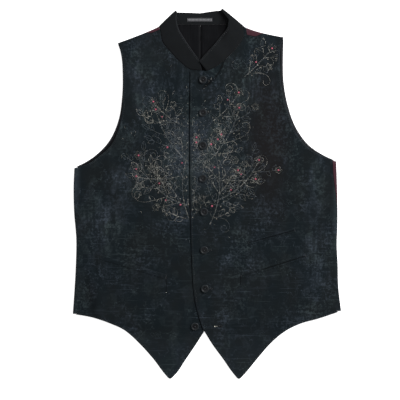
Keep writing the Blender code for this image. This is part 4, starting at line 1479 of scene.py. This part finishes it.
def sew_fronts():
    """Edge stitches, buttonholes, pocket ends and darts of each front, and the dark strip of painted shadow
    under the left front's edge.
    """
    for name, surface in surfaces.items():
        pile, slits = Pile(), Pile()
        sew_front_edges(pile, fronts[name], surface)
        if name == "left":
            lay_edge_shadow_strip(slits, fronts["left"], surfaces["right"])
            for start in HOLE_STARTS:
                buttonhole(pile, slits, Vector(start), surface)
        for pocket in POCKETS:
            if pocket.front == name:
                pocket_tacks(pile, pocket, surface)
        for dart in DARTS:
            if dart.front == name:
                sew_dart(slits, dart, surface)
        pile.piece("stitches_" + name, thread_materials["dark"], "front_cloth")
        # The left front's seams piece also holds the dark strip of painted shadow under its edge
        slits.piece("seams_" + name, slit_material, "front_cloth")


def sew_collar(surface):
    """The collar's stitches: along the inside of its top edge, round the label and at the two shoulders."""
    pile = Pile()
    for side in SIDES.values():
        edge = smooth_through([Vector(top) for top in side.arm_tops],
                              [COLLAR_STITCH_STEPS] * (len(side.arm_tops) - 1))
        sew_line(pile, offset_line(edge, COLLAR_STITCH_INSET, COLLAR_INSIDE), surface)
    for step in range(LABEL_TACKS + 1):
        x = LABEL_CENTRE[0] + (step / LABEL_TACKS - 0.5) * (LABEL_SIZE[0] - 2 * LABEL_TACK_MARGIN)
        for side in (-1, 1):
            y = LABEL_CENTRE[1] + side * (LABEL_SIZE[1] / 2 - LABEL_TACK_IN)
            seat = height_on(surface, Vector((x, y)))
            pile.stitch(Vector((x - LABEL_TACK_HALF, y, seat + LABEL_RISE)),
                        Vector((x + LABEL_TACK_HALF, y + side * LABEL_TACK_OUT, seat)),
                        LABEL_TACK_RADIUS, LABEL_TACK_RADIUS)
    for side in SIDES.values():
        out = (outward(side.shoulder) + outward(side.collar_fold)) / 2
        corner = start_of(side.shoulder) - out * CORNER_TACK_IN
        pile.add(*bead(corner, CORNER_TACK_RADIUS, STACK_TOP - CORNER_TACK_LOW, CORNER_TACK_LOW))
    pile.piece("stitches_collar", thread_materials["dark"], "collar_cloth")


def sew_lining(material):
    """The lining's closed centre seam, and the narrow tape over its seam with the collar's back."""
    pile = Pile()
    sunk = LINING_TOP - LINING_SEAM_SUNK
    centre = [Vector((CENTRE_BACK_X, y, sunk + ridge_height(LINING_RIDGES, CENTRE_BACK_X, y)))
              for y in range(*CENTRE_SEAM_SPAN, CENTRE_SEAM_STEP)]
    pile.thread(centre, CENTRE_SEAM_WIDTH, CENTRE_SEAM_HEIGHT)
    neck = [rows.inner[rows.neck_first:] for rows in (backs["right"], backs["left"])]
    tape = [Vector((p.x, p.y + COLLAR_GAP / 2, sunk)) for p in neck[0][:0:-1] + neck[1]]
    pile.thread(tape, NECK_TAPE_WIDTH, NECK_TAPE_HEIGHT)
    pile.piece("seams_lining", material, "lining")


def leave_loose_ends():
    pile = Pile()
    for end in LOOSE_ENDS:
        surface = surfaces[end.front]
        knot = laid(surface, end)
        pile.add(*bead((end.x, end.y), end.size, end.size * LOOSE_FLATNESS, knot.z))
        tail = laid(surface, Vector((end.x + end.tail, end.y + LOOSE_DRIFT)))
        pile.stitch(knot, tail, LOOSE_RADIUS, LOOSE_RISE)
    pile.piece("loose_thread_ends", thread_materials["bright"], "front_cloth")


def label_tape(surface):
    """A thin woven tape, bowed a little, lying on the collar."""
    tape = Cloth()
    rows = []
    for step_y in range(LABEL_ROWS + 1):
        line = []
        for step_x in range(LABEL_COLUMNS + 1):
            across, along = step_x / LABEL_COLUMNS - 0.5, step_y / LABEL_ROWS - 0.5
            place = Vector(LABEL_CENTRE) + Vector((across * LABEL_SIZE[0], along * LABEL_SIZE[1]))
            bow = LABEL_BOW * math.cos(2 * math.pi * across) * math.cos(math.pi * along)
            seat = height_on(surface, place) + LABEL_SEAT
            line.append(tape.point((place.x, place.y, seat + LABEL_RISE * (1 + bow)), DOWN))
        rows.append(line)
    tape.weave(rows)
    tape.cut = (tape.longest(rows), LABEL_SIZE[1] + LABEL_TURN)
    return tape


# Thread design: leafy sprays, small blossoms, tendrils and knots, worked in fine thread on both fronts


def heading_of(degrees):
    return Vector((math.cos(math.radians(degrees)), math.sin(math.radians(degrees))))


def curve_from(place, heading, bend, length):
    """An arc of even points, with the heading at each one."""
    points = [(place, heading)]
    for _ in range(max(2, int(length / POINT_PITCH))):
        heading += bend * POINT_PITCH / 100
        place = place + heading_of(heading) * POINT_PITCH
        points.append((place, heading))
    return points


class Design:
    """Threads laid on the fronts, gathered by front and colour."""

    def __init__(self):
        self.draw = random.Random(DESIGN_SEED)
        self.piles = {}

    def pile(self, front, colour):
        return self.piles.setdefault((front, colour), Pile())

    def seat(self, place):
        """The front that shows at a place and its height there, or None where nothing is sewn."""
        edge = edge_x(centre_edge(fronts["left"]), place.y)
        front = "left" if place.x > edge else "right"
        if abs(place.x - edge) < EDGE_CLEAR:
            return None
        for button in BUTTON_PLACES:
            if math.hypot(place.x - button.x, place.y - button.y) < BUTTON_CLEAR:
                return None
        for step in ((EDGE_CLEAR, 0), (-EDGE_CLEAR, 0), (0, EDGE_CLEAR)):
            if height_on(surfaces[front], place + Vector(step)) is None:
                return None
        height = height_on(surfaces[front], place)
        return (front, height) if height is not None else None

    def line(self, points, colour):
        """Running stitches along a line of points, each in a near shade of the colour."""
        first = 0
        while first < len(points) - 1:
            last = min(first + self.draw.choice(STITCH_POINTS), len(points) - 1)
            shade = self.draw.choice(SHADES[colour])
            run, front_now = [], None
            for place in points[first:last + 1]:
                found = self.seat(place)
                if found and front_now in (None, found[0]):
                    front_now = found[0]
                    run.append(Vector((place.x, place.y, found[1] - SEAM_SUNK)))
            if len(run) > 1:
                self.pile(front_now, shade).thread(run, DESIGN_THREAD, DESIGN_HEIGHT)
            first = last + (1 if self.draw.random() < GAP_SHARE else 0)

    def knot(self, place, radius, height, colour):
        found = self.seat(place)
        if found:
            self.pile(found[0], colour).add(*bead(place, radius, height, found[1] - KNOT_SUNK))

    def leaf(self, base, heading, length, colour):
        """A pointed leaf: two curved sides, and a midrib in a long one."""
        along, beside = heading_of(heading), heading_of(heading + 90)
        half = length * LEAF_SPREAD / 2 * self.draw.uniform(*LEAF_SPREADS)
        count = max(5, int(length / POINT_PITCH))
        lean = self.draw.uniform(-LEAF_LEAN, LEAF_LEAN)

        def at(share, side):
            width = half * math.sin(math.pi * share ** LEAF_FULLEST) * side
            return base + along * length * share + beside * (width + lean * length * share * share)

        for side in (-1, 1):
            self.line([at(i / count, side) for i in range(count + 1)], colour)
        if length > MIDRIB_LEAF:
            self.line([at(i / count, 0) for i in range(count)], "slate")

    def blossom(self, centre, radius, colour):
        """Open petals round a middle, with a short thread in each petal."""
        turn = self.draw.uniform(0, 360 / PETALS)
        outline = []
        for i in range(BLOSSOM_POINTS + 1):
            angle = 360 * i / BLOSSOM_POINTS
            reach = radius * (0.5 + 0.5 * abs(math.sin(math.radians(PETALS * angle / 2))))
            outline.append(centre + heading_of(angle + turn) * reach)
        self.line(outline, colour)
        for petal in range(PETALS):
            out = heading_of(turn + 360 * (petal + 0.5) / PETALS)
            self.line([centre + out * radius * share for share in PETAL_THREAD], colour)

    def tendril(self, place, heading, way, length, colour):
        """A thread that winds ever tighter towards its end."""
        points = [place]
        count = int(length / POINT_PITCH)
        for i in range(count):
            heading += way * (TENDRIL_START + TENDRIL_TIGHTEN * (i / count) ** TENDRIL_POWER)
            place = place + heading_of(heading) * POINT_PITCH
            points.append(place)
        self.line(points, colour)

    def twig(self, place, heading, bend, length, colour):
        """A side stem with leaves to both sides and a leaf, blossom or tendril at its tip."""
        draw = self.draw
        points = curve_from(place, heading, bend, length)
        self.line([p for p, _ in points], colour)
        step = int(LEAF_PITCH / POINT_PITCH)
        side = draw.choice((-1, 1))
        for i in range(step, len(points) - 1, step):
            side = -side
            at, now = points[i]
            taper = LEAF_TAPER[0] - LEAF_TAPER[1] * i / len(points)
            size = LEAF_LENGTH * taper * draw.uniform(*LEAF_LENGTHS)
            self.leaf(at, now + side * draw.uniform(*LEAF_ANGLES), size, colour)
        tip, now = points[-1]
        kind = draw.random()
        if kind < TIP_LEAF_SHARE:
            self.leaf(tip, now, LEAF_LENGTH * TIP_LEAF, colour)
        elif kind < TIP_BLOSSOM_SHARE:
            middle = tip + heading_of(now) * BLOSSOM_RADIUS
            self.blossom(middle, BLOSSOM_RADIUS, "pale")
            if draw.random() < CRIMSON_SHARE:
                self.knot(middle, KNOT_RADIUS, KNOT_HEIGHT, "crimson")
        else:
            self.tendril(tip, now, draw.choice((-1, 1)), TENDRIL_LENGTH * TIP_TENDRIL, colour)

    def stem(self, stem):
        """A main stem of two threads, with twigs and tendrils by turns along it."""
        draw = self.draw
        points = curve_from(Vector((stem.x, stem.y)), stem.heading, stem.bend, stem.length)
        self.line([p for p, _ in points], "pale")
        self.line([p + heading_of(now + 90) * STEM_APART for p, now in points], "slate")
        for twig in range(stem.twigs):
            at, now = points[int(len(points) * (twig + FIRST_TWIG) / (stem.twigs + STEM_END))]
            colour = TWIG_COLOURS[draw.randrange(4)]
            for side in (-1, 1):
                length = stem.length * TWIG_SHARE * draw.uniform(*TWIG_LENGTHS)
                angle = now + side * draw.uniform(*TWIG_ANGLES) * TWIG_ANGLE
                self.twig(at, angle, -side * draw.uniform(*TWIG_BENDS), length, colour)
            self.tendril(at, now + draw.uniform(*TENDRIL_TURNS), draw.choice((-1, 1)),
                         TENDRIL_LENGTH * draw.uniform(*TENDRIL_LENGTHS), ("slate", "pale")[twig % 2])
            if twig % 3 == 1:
                berry = at + heading_of(now + draw.uniform(*BERRY_ANGLES)) * draw.uniform(*BERRY_REACHES)
                self.knot(berry, KNOT_RADIUS * draw.uniform(*BERRY_SIZES), KNOT_HEIGHT, "crimson")
            beside = heading_of(now - PALE_KNOT_ANGLE) * PALE_KNOT_OUT
            self.knot(at + beside, PALE_KNOT_RADIUS, PALE_KNOT_HEIGHT, "pale")
        tip, now = points[-1]
        middle = tip + heading_of(now) * STEM_BLOSSOM_OUT
        self.blossom(middle, BLOSSOM_RADIUS * STEM_BLOSSOM, "pale")
        self.knot(middle, KNOT_RADIUS, KNOT_HEIGHT, "crimson")

    def seeding(self):
        """Short, scattered stitches between the sprays, thickest at the middle of the chest."""
        draw = self.draw
        for _ in range(SEED_STITCH_COUNT):
            centre = Vector([draw.gauss(*along) for along in zip(SEED_CENTRE, SEED_SPREAD)])
            out = heading_of(draw.uniform(0, 360)) * draw.uniform(*SEED_LENGTHS) * SEED_STITCH_LENGTH / 2
            colour = SEED_COLOURS[draw.randrange(4)]
            self.line([centre - out, centre, centre + out], colour)


# Finishes


class Finish:
    """A procedural material whose nodes read the object's own coordinates."""

    def __init__(self, name, roughness, specular, sheen=0.0):
        self.material = bpy.data.materials.new(name)
        self.material.use_nodes = True
        self.tree = self.material.node_tree
        self.shader = self.tree.nodes["Principled BSDF"]
        self.shader.inputs["Roughness"].default_value = roughness
        self.shader.inputs["Specular IOR Level"].default_value = specular
        self.shader.inputs["Sheen Weight"].default_value = sheen
        self.shader.inputs["Sheen Roughness"].default_value = SHEEN_ROUGHNESS
        self.place = self.node("ShaderNodeTexCoord").outputs["Object"]
        self.axes = self.node("ShaderNodeSeparateXYZ", Vector=self.place).outputs

    def node(self, kind, settings=None, **inputs):
        """A node with its settings, and each input either linked or given as a value."""
        made = self.tree.nodes.new(kind)
        for name, value in (settings or {}).items():
            setattr(made, name, value)
        for name, value in inputs.items():
            self.feed(value, made.inputs[name.replace("_", " ")])
        return made

    def feed(self, value, socket):
        if isinstance(value, bpy.types.NodeSocket):
            self.tree.links.new(value, socket)
        else:
            socket.default_value = value

    def uneven(self, size_x, size_y, detail=4.0, roughness=0.5, turn=0.0, seed=0.0):
        """Noise with marks of about the given size in millimetres."""
        placed = self.node("ShaderNodeMapping", Vector=self.place, Rotation=(0, 0, math.radians(turn)),
                           Scale=(1 / (size_x * MM), 1 / (size_y * MM), 1 / (size_x * MM)))
        cloud = self.node("ShaderNodeTexNoise", {"noise_dimensions": "4D"}, Vector=placed.outputs["Vector"],
                          W=seed, Scale=1.0, Detail=detail, Roughness=roughness)
        return cloud.outputs["Fac"]

    def blocks(self, size_x, size_y, ragged, seed):
        """Patches with straight, ragged sides, each of a random value, for sizes in millimetres."""
        wander = self.node("ShaderNodeTexNoise", {"noise_dimensions": "4D"}, Vector=self.place, W=seed,
                           Scale=1 / (ragged * MM), Detail=5.0, Roughness=0.7)
        moved = self.node("ShaderNodeMix", {"data_type": "VECTOR"}, Factor=ragged * MM)
        self.feed(self.place, moved.inputs[4])
        self.feed(wander.outputs["Color"], moved.inputs[5])
        placed = self.node("ShaderNodeMapping", Vector=moved.outputs[1],
                           Scale=(1 / (size_x * MM), 1 / (size_y * MM), 0.0))
        cells = self.node("ShaderNodeTexVoronoi", {"distance": "CHEBYCHEV", "voronoi_dimensions": "2D"},
                          Vector=placed.outputs["Vector"], Scale=1.0)
        return self.node("ShaderNodeSeparateColor", Color=cells.outputs["Color"]).outputs["Red"]

    def between(self, value, low, high, smallest=0.0, largest=1.0):
        """The value's place between low and high, as a soft step from smallest to largest."""
        made = self.node("ShaderNodeMapRange", {"interpolation_type": "SMOOTHSTEP"}, Value=value)
        ends = {"From Min": low, "From Max": high, "To Min": smallest, "To Max": largest}
        for name, number in ends.items():
            made.inputs[name].default_value = number
        return made.outputs["Result"]

    def sum(self, operation, *values):
        """Values joined one after the other by a Math operation."""
        total = values[0]
        for value in values[1:]:
            made = self.node("ShaderNodeMath", {"operation": operation})
            self.feed(total, made.inputs[0])
            self.feed(value, made.inputs[1])
            total = made.outputs[0]
        return total

    def times(self, *values):
        return self.sum("MULTIPLY", *values)

    def plus(self, *values):
        return self.sum("ADD", *values)

    def most(self, *values):
        return self.sum("MAXIMUM", *values)

    def one(self, operation, value):
        made = self.node("ShaderNodeMath", {"operation": operation})
        self.feed(value, made.inputs[0])
        return made.outputs[0]

    def mix(self, share, first, second):
        made = self.node("ShaderNodeMix", {"data_type": "RGBA"})
        self.feed(share, made.inputs["Factor"])
        for value, socket in ((first, made.inputs[6]), (second, made.inputs[7])):
            self.feed((*value, 1) if isinstance(value, tuple) else value, socket)
        return made.outputs[2]

    def spread(self, name):
        return self.node("ShaderNodeAttribute", {"attribute_name": name}).outputs["Fac"]

    def round_spot(self, x, y, reach_x, reach_y, soft=0.6, turn=0.0):
        """1 inside an ellipse placed in millimetres and turned by degrees, fading to 0 past its rim."""
        placed = self.node("ShaderNodeMapping", {"vector_type": "TEXTURE"}, Vector=self.place,
                           Location=((x + SHIFT.x) * MM, (y + SHIFT.y) * MM, 0.0),
                           Rotation=(0, 0, math.radians(turn)), Scale=(reach_x * MM, reach_y * MM, 1.0))
        away = self.node("ShaderNodeVectorMath", {"operation": "LENGTH"}, Vector=placed.outputs["Vector"])
        return self.between(away.outputs["Value"], 1 - soft, 1 + soft, 1.0, 0.0)

    def spots(self, table, **how):
        """The strongest of many round spots."""
        return self.most(*[self.round_spot(*spot, **how) for spot in table])

    def strong_spots(self, table):
        """Many round spots, each with its strength."""
        return [self.times(self.round_spot(*spot), strength) for spot, strength in table]

    def bump(self, height, depth, strength):
        """Fine relief of the given depth in millimetres."""
        bump = self.node("ShaderNodeBump", Height=height, Distance=depth * MM, Strength=strength)
        self.feed(bump.outputs["Normal"], self.shader.inputs["Normal"])

    def weave(self, pitch, depth, strength, *rough):
        """Fine over-and-under relief of threads at the given pitch in millimetres."""
        turns = 2 * math.pi / (pitch * MM)
        waves = [self.one("SINE", self.times(self.axes[axis], turns)) for axis in ("X", "Y")]
        self.bump(self.plus(self.times(*waves), *rough), depth, strength)

    def colour(self, value):
        self.feed(value, self.shader.inputs["Base Color"])
        return self.material


def front_finish():
    """Near-black cloth, worn back to grey-blue in brushed patches, with scrawls, scratches and flecks, a
    painted highlight along its sides, and painted shade in its creases and pocket mouths.
    """
    cloth = Finish("worn_front_cloth", 0.82, 0.07, 0.04)
    between, times, uneven = cloth.between, cloth.times, cloth.uneven
    upper = between(cloth.axes["Y"], 0.04, 0.17)
    lower = between(cloth.axes["Y"], 0.05, -0.07)
    tall = uneven(6.0, 30, 7.0, 0.66, seed=7.7)
    wide = uneven(34, 3.6, 8.0, 0.70, seed=9.4)
    grain = uneven(5.0, 5.0, 10.0, 0.78, seed=4.1)
    cross = times(cloth.plus(tall, wide), 0.5)
    blocks = cloth.blocks(13, 19, 6, seed=2.6)
    broad = between(uneven(62, 95, 3.0, 0.6, seed=1.3), 0.46, 0.62)
    brushed = cloth.plus(times(cross, 0.4), times(grain, 0.6))
    rubbed = cloth.spots(RUBBED_SPOTS, soft=0.8)
    patches = times(between(brushed, 0.50, 0.55), cloth.most(broad, rubbed))
    squares = times(between(blocks, 0.60, 0.86), between(grain, 0.36, 0.62))
    brushed_squares = times(rubbed, between(blocks, 0.30, 0.70, 0.25, 1.0),
                            between(tall, 0.40, 0.58, 0.35, 1.0))
    tall_marks = times(between(tall, 0.52, 0.64), upper, between(grain, 0.38, 0.60),
                       between(uneven(36, 60, 2.0, seed=2.2), 0.42, 0.62))
    wide_marks = times(between(wide, 0.53, 0.64), lower, between(uneven(80, 34, 2.0, seed=5.8), 0.40, 0.62))
    flecks = between(uneven(2.0, 2.0, 4.0, 0.7, seed=3.6), 0.60, 0.70)
    contour = cloth.one("ABSOLUTE", cloth.sum("SUBTRACT", uneven(21, 18, 3.0, 0.6, seed=6.9), 0.5))
    scrawl = times(between(contour, 0.008, 0.002), between(uneven(30, 26, 3.0, seed=3.2), 0.42, 0.60),
                   grain)
    scratches = times(between(uneven(64, 0.9, 2.0, 0.4, turn=1.2, seed=8.8), 0.66, 0.72), lower)
    # Painted highlight along the sides, where the cloth turns down
    sides = cloth.spots(SIDE_HIGHLIGHTS, soft=0.7)
    haze = times(cloth.most(*cloth.strong_spots(HAZY_SPOTS)), between(brushed, 0.44, 0.58, 0.3, 1.0))
    points = between(cloth.axes["Y"], -0.23, -0.33)
    marks = (
        (patches, 0.38), (squares, 0.12), (brushed_squares, 0.20), (tall_marks, 0.42), (wide_marks, 0.17),
        (flecks, 0.08), (scrawl, 0.95), (scratches, 0.55), (haze, 0.44), (cloth.spread("edge"), 0.22),
        (sides, 0.28), (points, 0.08),
    )
    wear_and_highlight = cloth.plus(*[times(mark, weight) for mark, weight in marks])
    pale = cloth.mix(between(uneven(46, 46, 3.0, seed=8.2), 0.44, 0.58), *FRONT_WEAR_AND_HIGHLIGHT)
    dyed = cloth.mix(between(uneven(42, 60, 3.0, seed=0.7), 0.35, 0.65), *FRONT_DYED)
    brown = cloth.round_spot(*BROWN_SPOT, soft=0.7)
    dyed = cloth.mix(brown, dyed, FRONT_BROWN)
    wear_and_highlight = times(wear_and_highlight, between(brown, 0, 1, 1.0, 0.5))
    cloth.weave(0.9, 0.05, 0.35, uneven(0.7, 0.7, 2.0, seed=2.9))
    # Painted shade: the pocket mouths' valleys and the creases are darkened toward FRONT_SHADE
    shade = cloth.most(cloth.spread("shade"), *cloth.strong_spots(PAINTED_CREASE_SHADE))
    return cloth.colour(cloth.mix(shade, cloth.mix(wear_and_highlight, dyed, pale), FRONT_SHADE))


def collar_finish():
    """Plain black cloth with a painted highlight along its top edge and a painted shadow inside its left
    side.
    """
    cloth = Finish("black_collar_cloth", 0.85, 0.09, 0.06)
    body = cloth.mix(cloth.uneven(14, 14, 6.0, 0.65, seed=1.1), *COLLAR_BLACK)
    # Painted shadow inside the collar's left side
    body = cloth.mix(cloth.round_spot(*NECK_SHADOW), body, COLLAR_SHADE)
    # Painted highlight along the top edge only
    top_edge = cloth.times(cloth.spread("edge"), cloth.spread("shade"), 0.28)
    cloth.weave(0.8, 0.05, 0.35, cloth.uneven(0.6, 0.6, 2.0, seed=3.3))
    return cloth.colour(cloth.mix(top_edge, body, COLLAR_EDGE_HIGHLIGHT))


def satin_finish(name, colours, edge, roughness, specular):
    """A smooth lining cloth with faint lengthwise streaks, a painted shadow inside the collar's left side,
    and an edge colour along its turned edges away from the neck, a painted highlight on the black lining.
    """
    cloth = Finish(name, roughness, specular, 0.05)
    streaks = cloth.between(cloth.uneven(1.6, 60, 4.0, 0.6, seed=5.1), 0.35, 0.65)
    cloud = cloth.uneven(45, 70, 3.0, seed=2.7)
    cloth.weave(0.5, 0.03, 0.25, cloth.uneven(0.8, 9.0, 2.0, seed=6.2))
    body = cloth.mix(cloth.times(cloth.plus(streaks, cloud), 0.5), *colours)
    # Painted shadow inside the collar's left side
    body = cloth.mix(cloth.round_spot(*NECK_SHADOW), body, colours[0])
    # Past NECK_REACH from the middle the edges take the edge colour: a painted highlight on the lining's rim
    outside = cloth.between(cloth.one("ABSOLUTE", cloth.axes["X"]), NECK_REACH * MM, 1.2 * NECK_REACH * MM)
    return cloth.colour(cloth.mix(cloth.times(cloth.spread("edge"), outside), body, edge))


def thread_finish(name, colours, roughness=0.6, specular=0.25, sheen=0.15):
    """Twisted thread: fine bands of two near shades."""
    thread = Finish(name, roughness, specular, sheen)
    shades = thread.between(thread.uneven(1.4, 1.4, 3.0, seed=4.4), 0.35, 0.65)
    thread.weave(0.35, 0.03, 0.3)
    return thread.colour(thread.mix(shades, *colours))


def button_finish():
    """Dark polished horn-like plastic, clouded within and finely scratched, with painted highlights on its
    rim and round its dish.
    """
    button = Finish("dark_button", 0.42, 0.16)
    cloud = button.between(button.uneven(5, 9, 5.0, 0.6, turn=20, seed=1.9), 0.40, 0.62)
    scratches = button.uneven(0.3, 6.0, 3.0, turn=35, seed=7.1)
    button.bump(scratches, 0.02, 0.4)
    button.feed(button.between(scratches, 0.3, 0.7, 0.30, 0.46), button.shader.inputs["Roughness"])
    return button.colour(button.mix(button.spread("ring"), button.mix(cloud, *BUTTON_HORN), BUTTON_RIM_HIGHLIGHT))


def label_finish():
    """Woven tape: pale border threads and a plain row of small lozenges on black."""
    tape = Finish("woven_tape", 0.7, 0.15, 0.1)
    from_centre = [tape.sum("SUBTRACT", tape.axes[axis], (centre + shift) * MM)
                   for axis, centre, shift in zip(("X", "Y"), LABEL_CENTRE, SHIFT)]
    away = tape.one("ABSOLUTE", tape.sum("DIVIDE", from_centre[1], LABEL_SIZE[1] / 2 * MM))
    cell = tape.times(from_centre[0], 1 / (LABEL_LOZENGE * MM))
    saw = tape.one("ABSOLUTE", tape.sum("SUBTRACT", tape.one("FRACT", cell), 0.5))
    lozenge = tape.between(tape.plus(tape.times(saw, 1.6), away), 0.72, 0.52)
    border = tape.times(tape.between(away, 0.72, 0.78), tape.between(away, 0.94, 0.88))
    threads = tape.between(tape.uneven(0.5, 0.35, 3.0, seed=5.5), 0.3, 0.7, 0.45, 1.0)
    pattern = tape.times(tape.most(lozenge, tape.times(border, 0.5)), threads)
    tape.weave(0.45, 0.04, 0.5)
    return tape.colour(tape.mix(pattern, *LABEL_WEAVE))


def floor_finish():
    """White studio sweep with a barely uneven face."""
    sweep = Finish("studio_floor", 0.9, 0.1)
    sweep.shader.inputs["Emission Color"].default_value = (1, 1, 1, 1)
    sweep.shader.inputs["Emission Strength"].default_value = FLOOR_GLOW
    return sweep.colour(sweep.mix(sweep.uneven(300, 300, 2.0, seed=1.0), *FLOOR_WHITE))


# Making the garment


def lay_sheet(cloth, name, thickness, material, slot, node, rests_on, **how):
    """Make a cloth piece, and hide the frame's part that it stands for."""
    piece = cloth.piece(name, thickness, material, **how)
    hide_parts(node)
    flat = tuple(max(side, NARROWEST_CUT) * MM for side in cloth.cut)
    cloth.area()
    return piece


front_material = front_finish()
back_material = satin_finish("burgundy_back", BURGUNDY, BURGUNDY_EDGE, 0.45, 0.14)
lining_material = satin_finish("black_lining", LINING_BLACK, LINING_RIM_HIGHLIGHT, 0.55, 0.05)
slit_material = thread_finish("slit_shadow", SLIT_BLACK, 0.9, 0.02, 0.0)
thread_materials = {name: thread_finish(name + "_thread", colours)
                    for name, colours in THREAD_COLOURS.items()}

fronts = {name: rows_through(side.front) for name, side in SIDES.items()}
heights = {"right": right_front_height, "left": left_front_height}
backs = {name: back_rows(side.back, side.shoulder) for name, side in SIDES.items()}

surfaces = {}
for name, side in SIDES.items():
    front = front_panel(fronts[name], side, heights[name])
    piece = lay_sheet(front, "cloth_front_" + name, FRONT_THICK, front_material, "front_cloth",
                      "front_" + name, ["cloth_lining_" + name, "cloth_back_" + name])
    surfaces[name] = surface_of(piece)
    back = back_panel(backs[name], side, fronts[name])
    lay_sheet(back, "cloth_back_" + name, BACK_THICK, back_material, "back_cloth",
              "back_" + name, ["floor"])
    lining = lining_panel(backs[name], side)
    lay_sheet(lining, "cloth_lining_" + name, LINING_THICK, lining_material, "lining",
              "lining_" + name, ["cloth_back_" + name], rim_round=0.0)

collar = lay_sheet(collar_band(), "cloth_collar", COLLAR_THICK, collar_finish(), "collar_cloth", "collar",
                   ["cloth_lining_left", "cloth_lining_right"])
collar_surface = surface_of(collar)

for pocket in POCKETS:
    lay_sheet(pocket_lips(pocket, surfaces[pocket.front]), "lips_" + pocket.name, LIP_THICK, front_material,
              "front_cloth", pocket.name, ["cloth_front_" + pocket.front])

lay_sheet(label_tape(collar_surface), "woven_label", LABEL_RISE, label_finish(), "label",
          "label", ["cloth_collar"])

sew_fronts()
sew_collar(collar_surface)
sew_lining(lining_material)
leave_loose_ends()
sew_buttons()

design = Design()
for stem in STEMS:
    design.stem(stem)
design.seeding()
for (front_name, colour), pile in sorted(design.piles.items()):
    pile.piece("design_%s_%s" % (front_name, colour), thread_materials[colour], "front_cloth")

# Studio
floor_mesh = bpy.data.meshes.new("floor")
corners = [(x * FLOOR_REACH, y * FLOOR_REACH, 0) for x, y in ((-1, -1), (1, -1), (1, 1), (-1, 1))]
floor_mesh.from_pydata(corners, [], [(0, 1, 2, 3)])
floor_mesh.materials.append(floor_finish())
floor = linked("floor", floor_mesh)
floor.location.z = -FLOOR_GAP
floor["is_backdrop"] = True

for lamp in LAMPS:
    light = bpy.data.lights.new(lamp.name, "AREA")
    light.size = lamp.size
    light.energy = lamp.power
    made = linked(lamp.name, light)
    made.location = (lamp.x, lamp.y, lamp.z)
    made.rotation_euler = (-Vector(made.location)).to_track_quat("-Z", "Y").to_euler()

world = bpy.data.worlds.new("studio")
world.use_nodes = True
world.node_tree.nodes["Background"].inputs["Color"].default_value = (1, 1, 1, 1)
world.node_tree.nodes["Background"].inputs["Strength"].default_value = WORLD_LIGHT
scene = bpy.context.scene
scene.world = world
scene.view_settings.view_transform = "Standard"

view = bpy.data.cameras.new("straight_down")
view.sensor_width = SENSOR_WIDTH
view.lens = SENSOR_WIDTH * CAMERA_HEIGHT / VIEW_WIDTH
camera = linked("straight_down", view)
camera.location = (Vector(VIEW_CENTRE) + SHIFT.xy).to_3d() * MM + UP * CAMERA_HEIGHT
scene.camera = camera

boxes = {"cad": cad_box, "visual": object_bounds()}
{name: [list(corner) for corner in box] for name, box in boxes.items()}
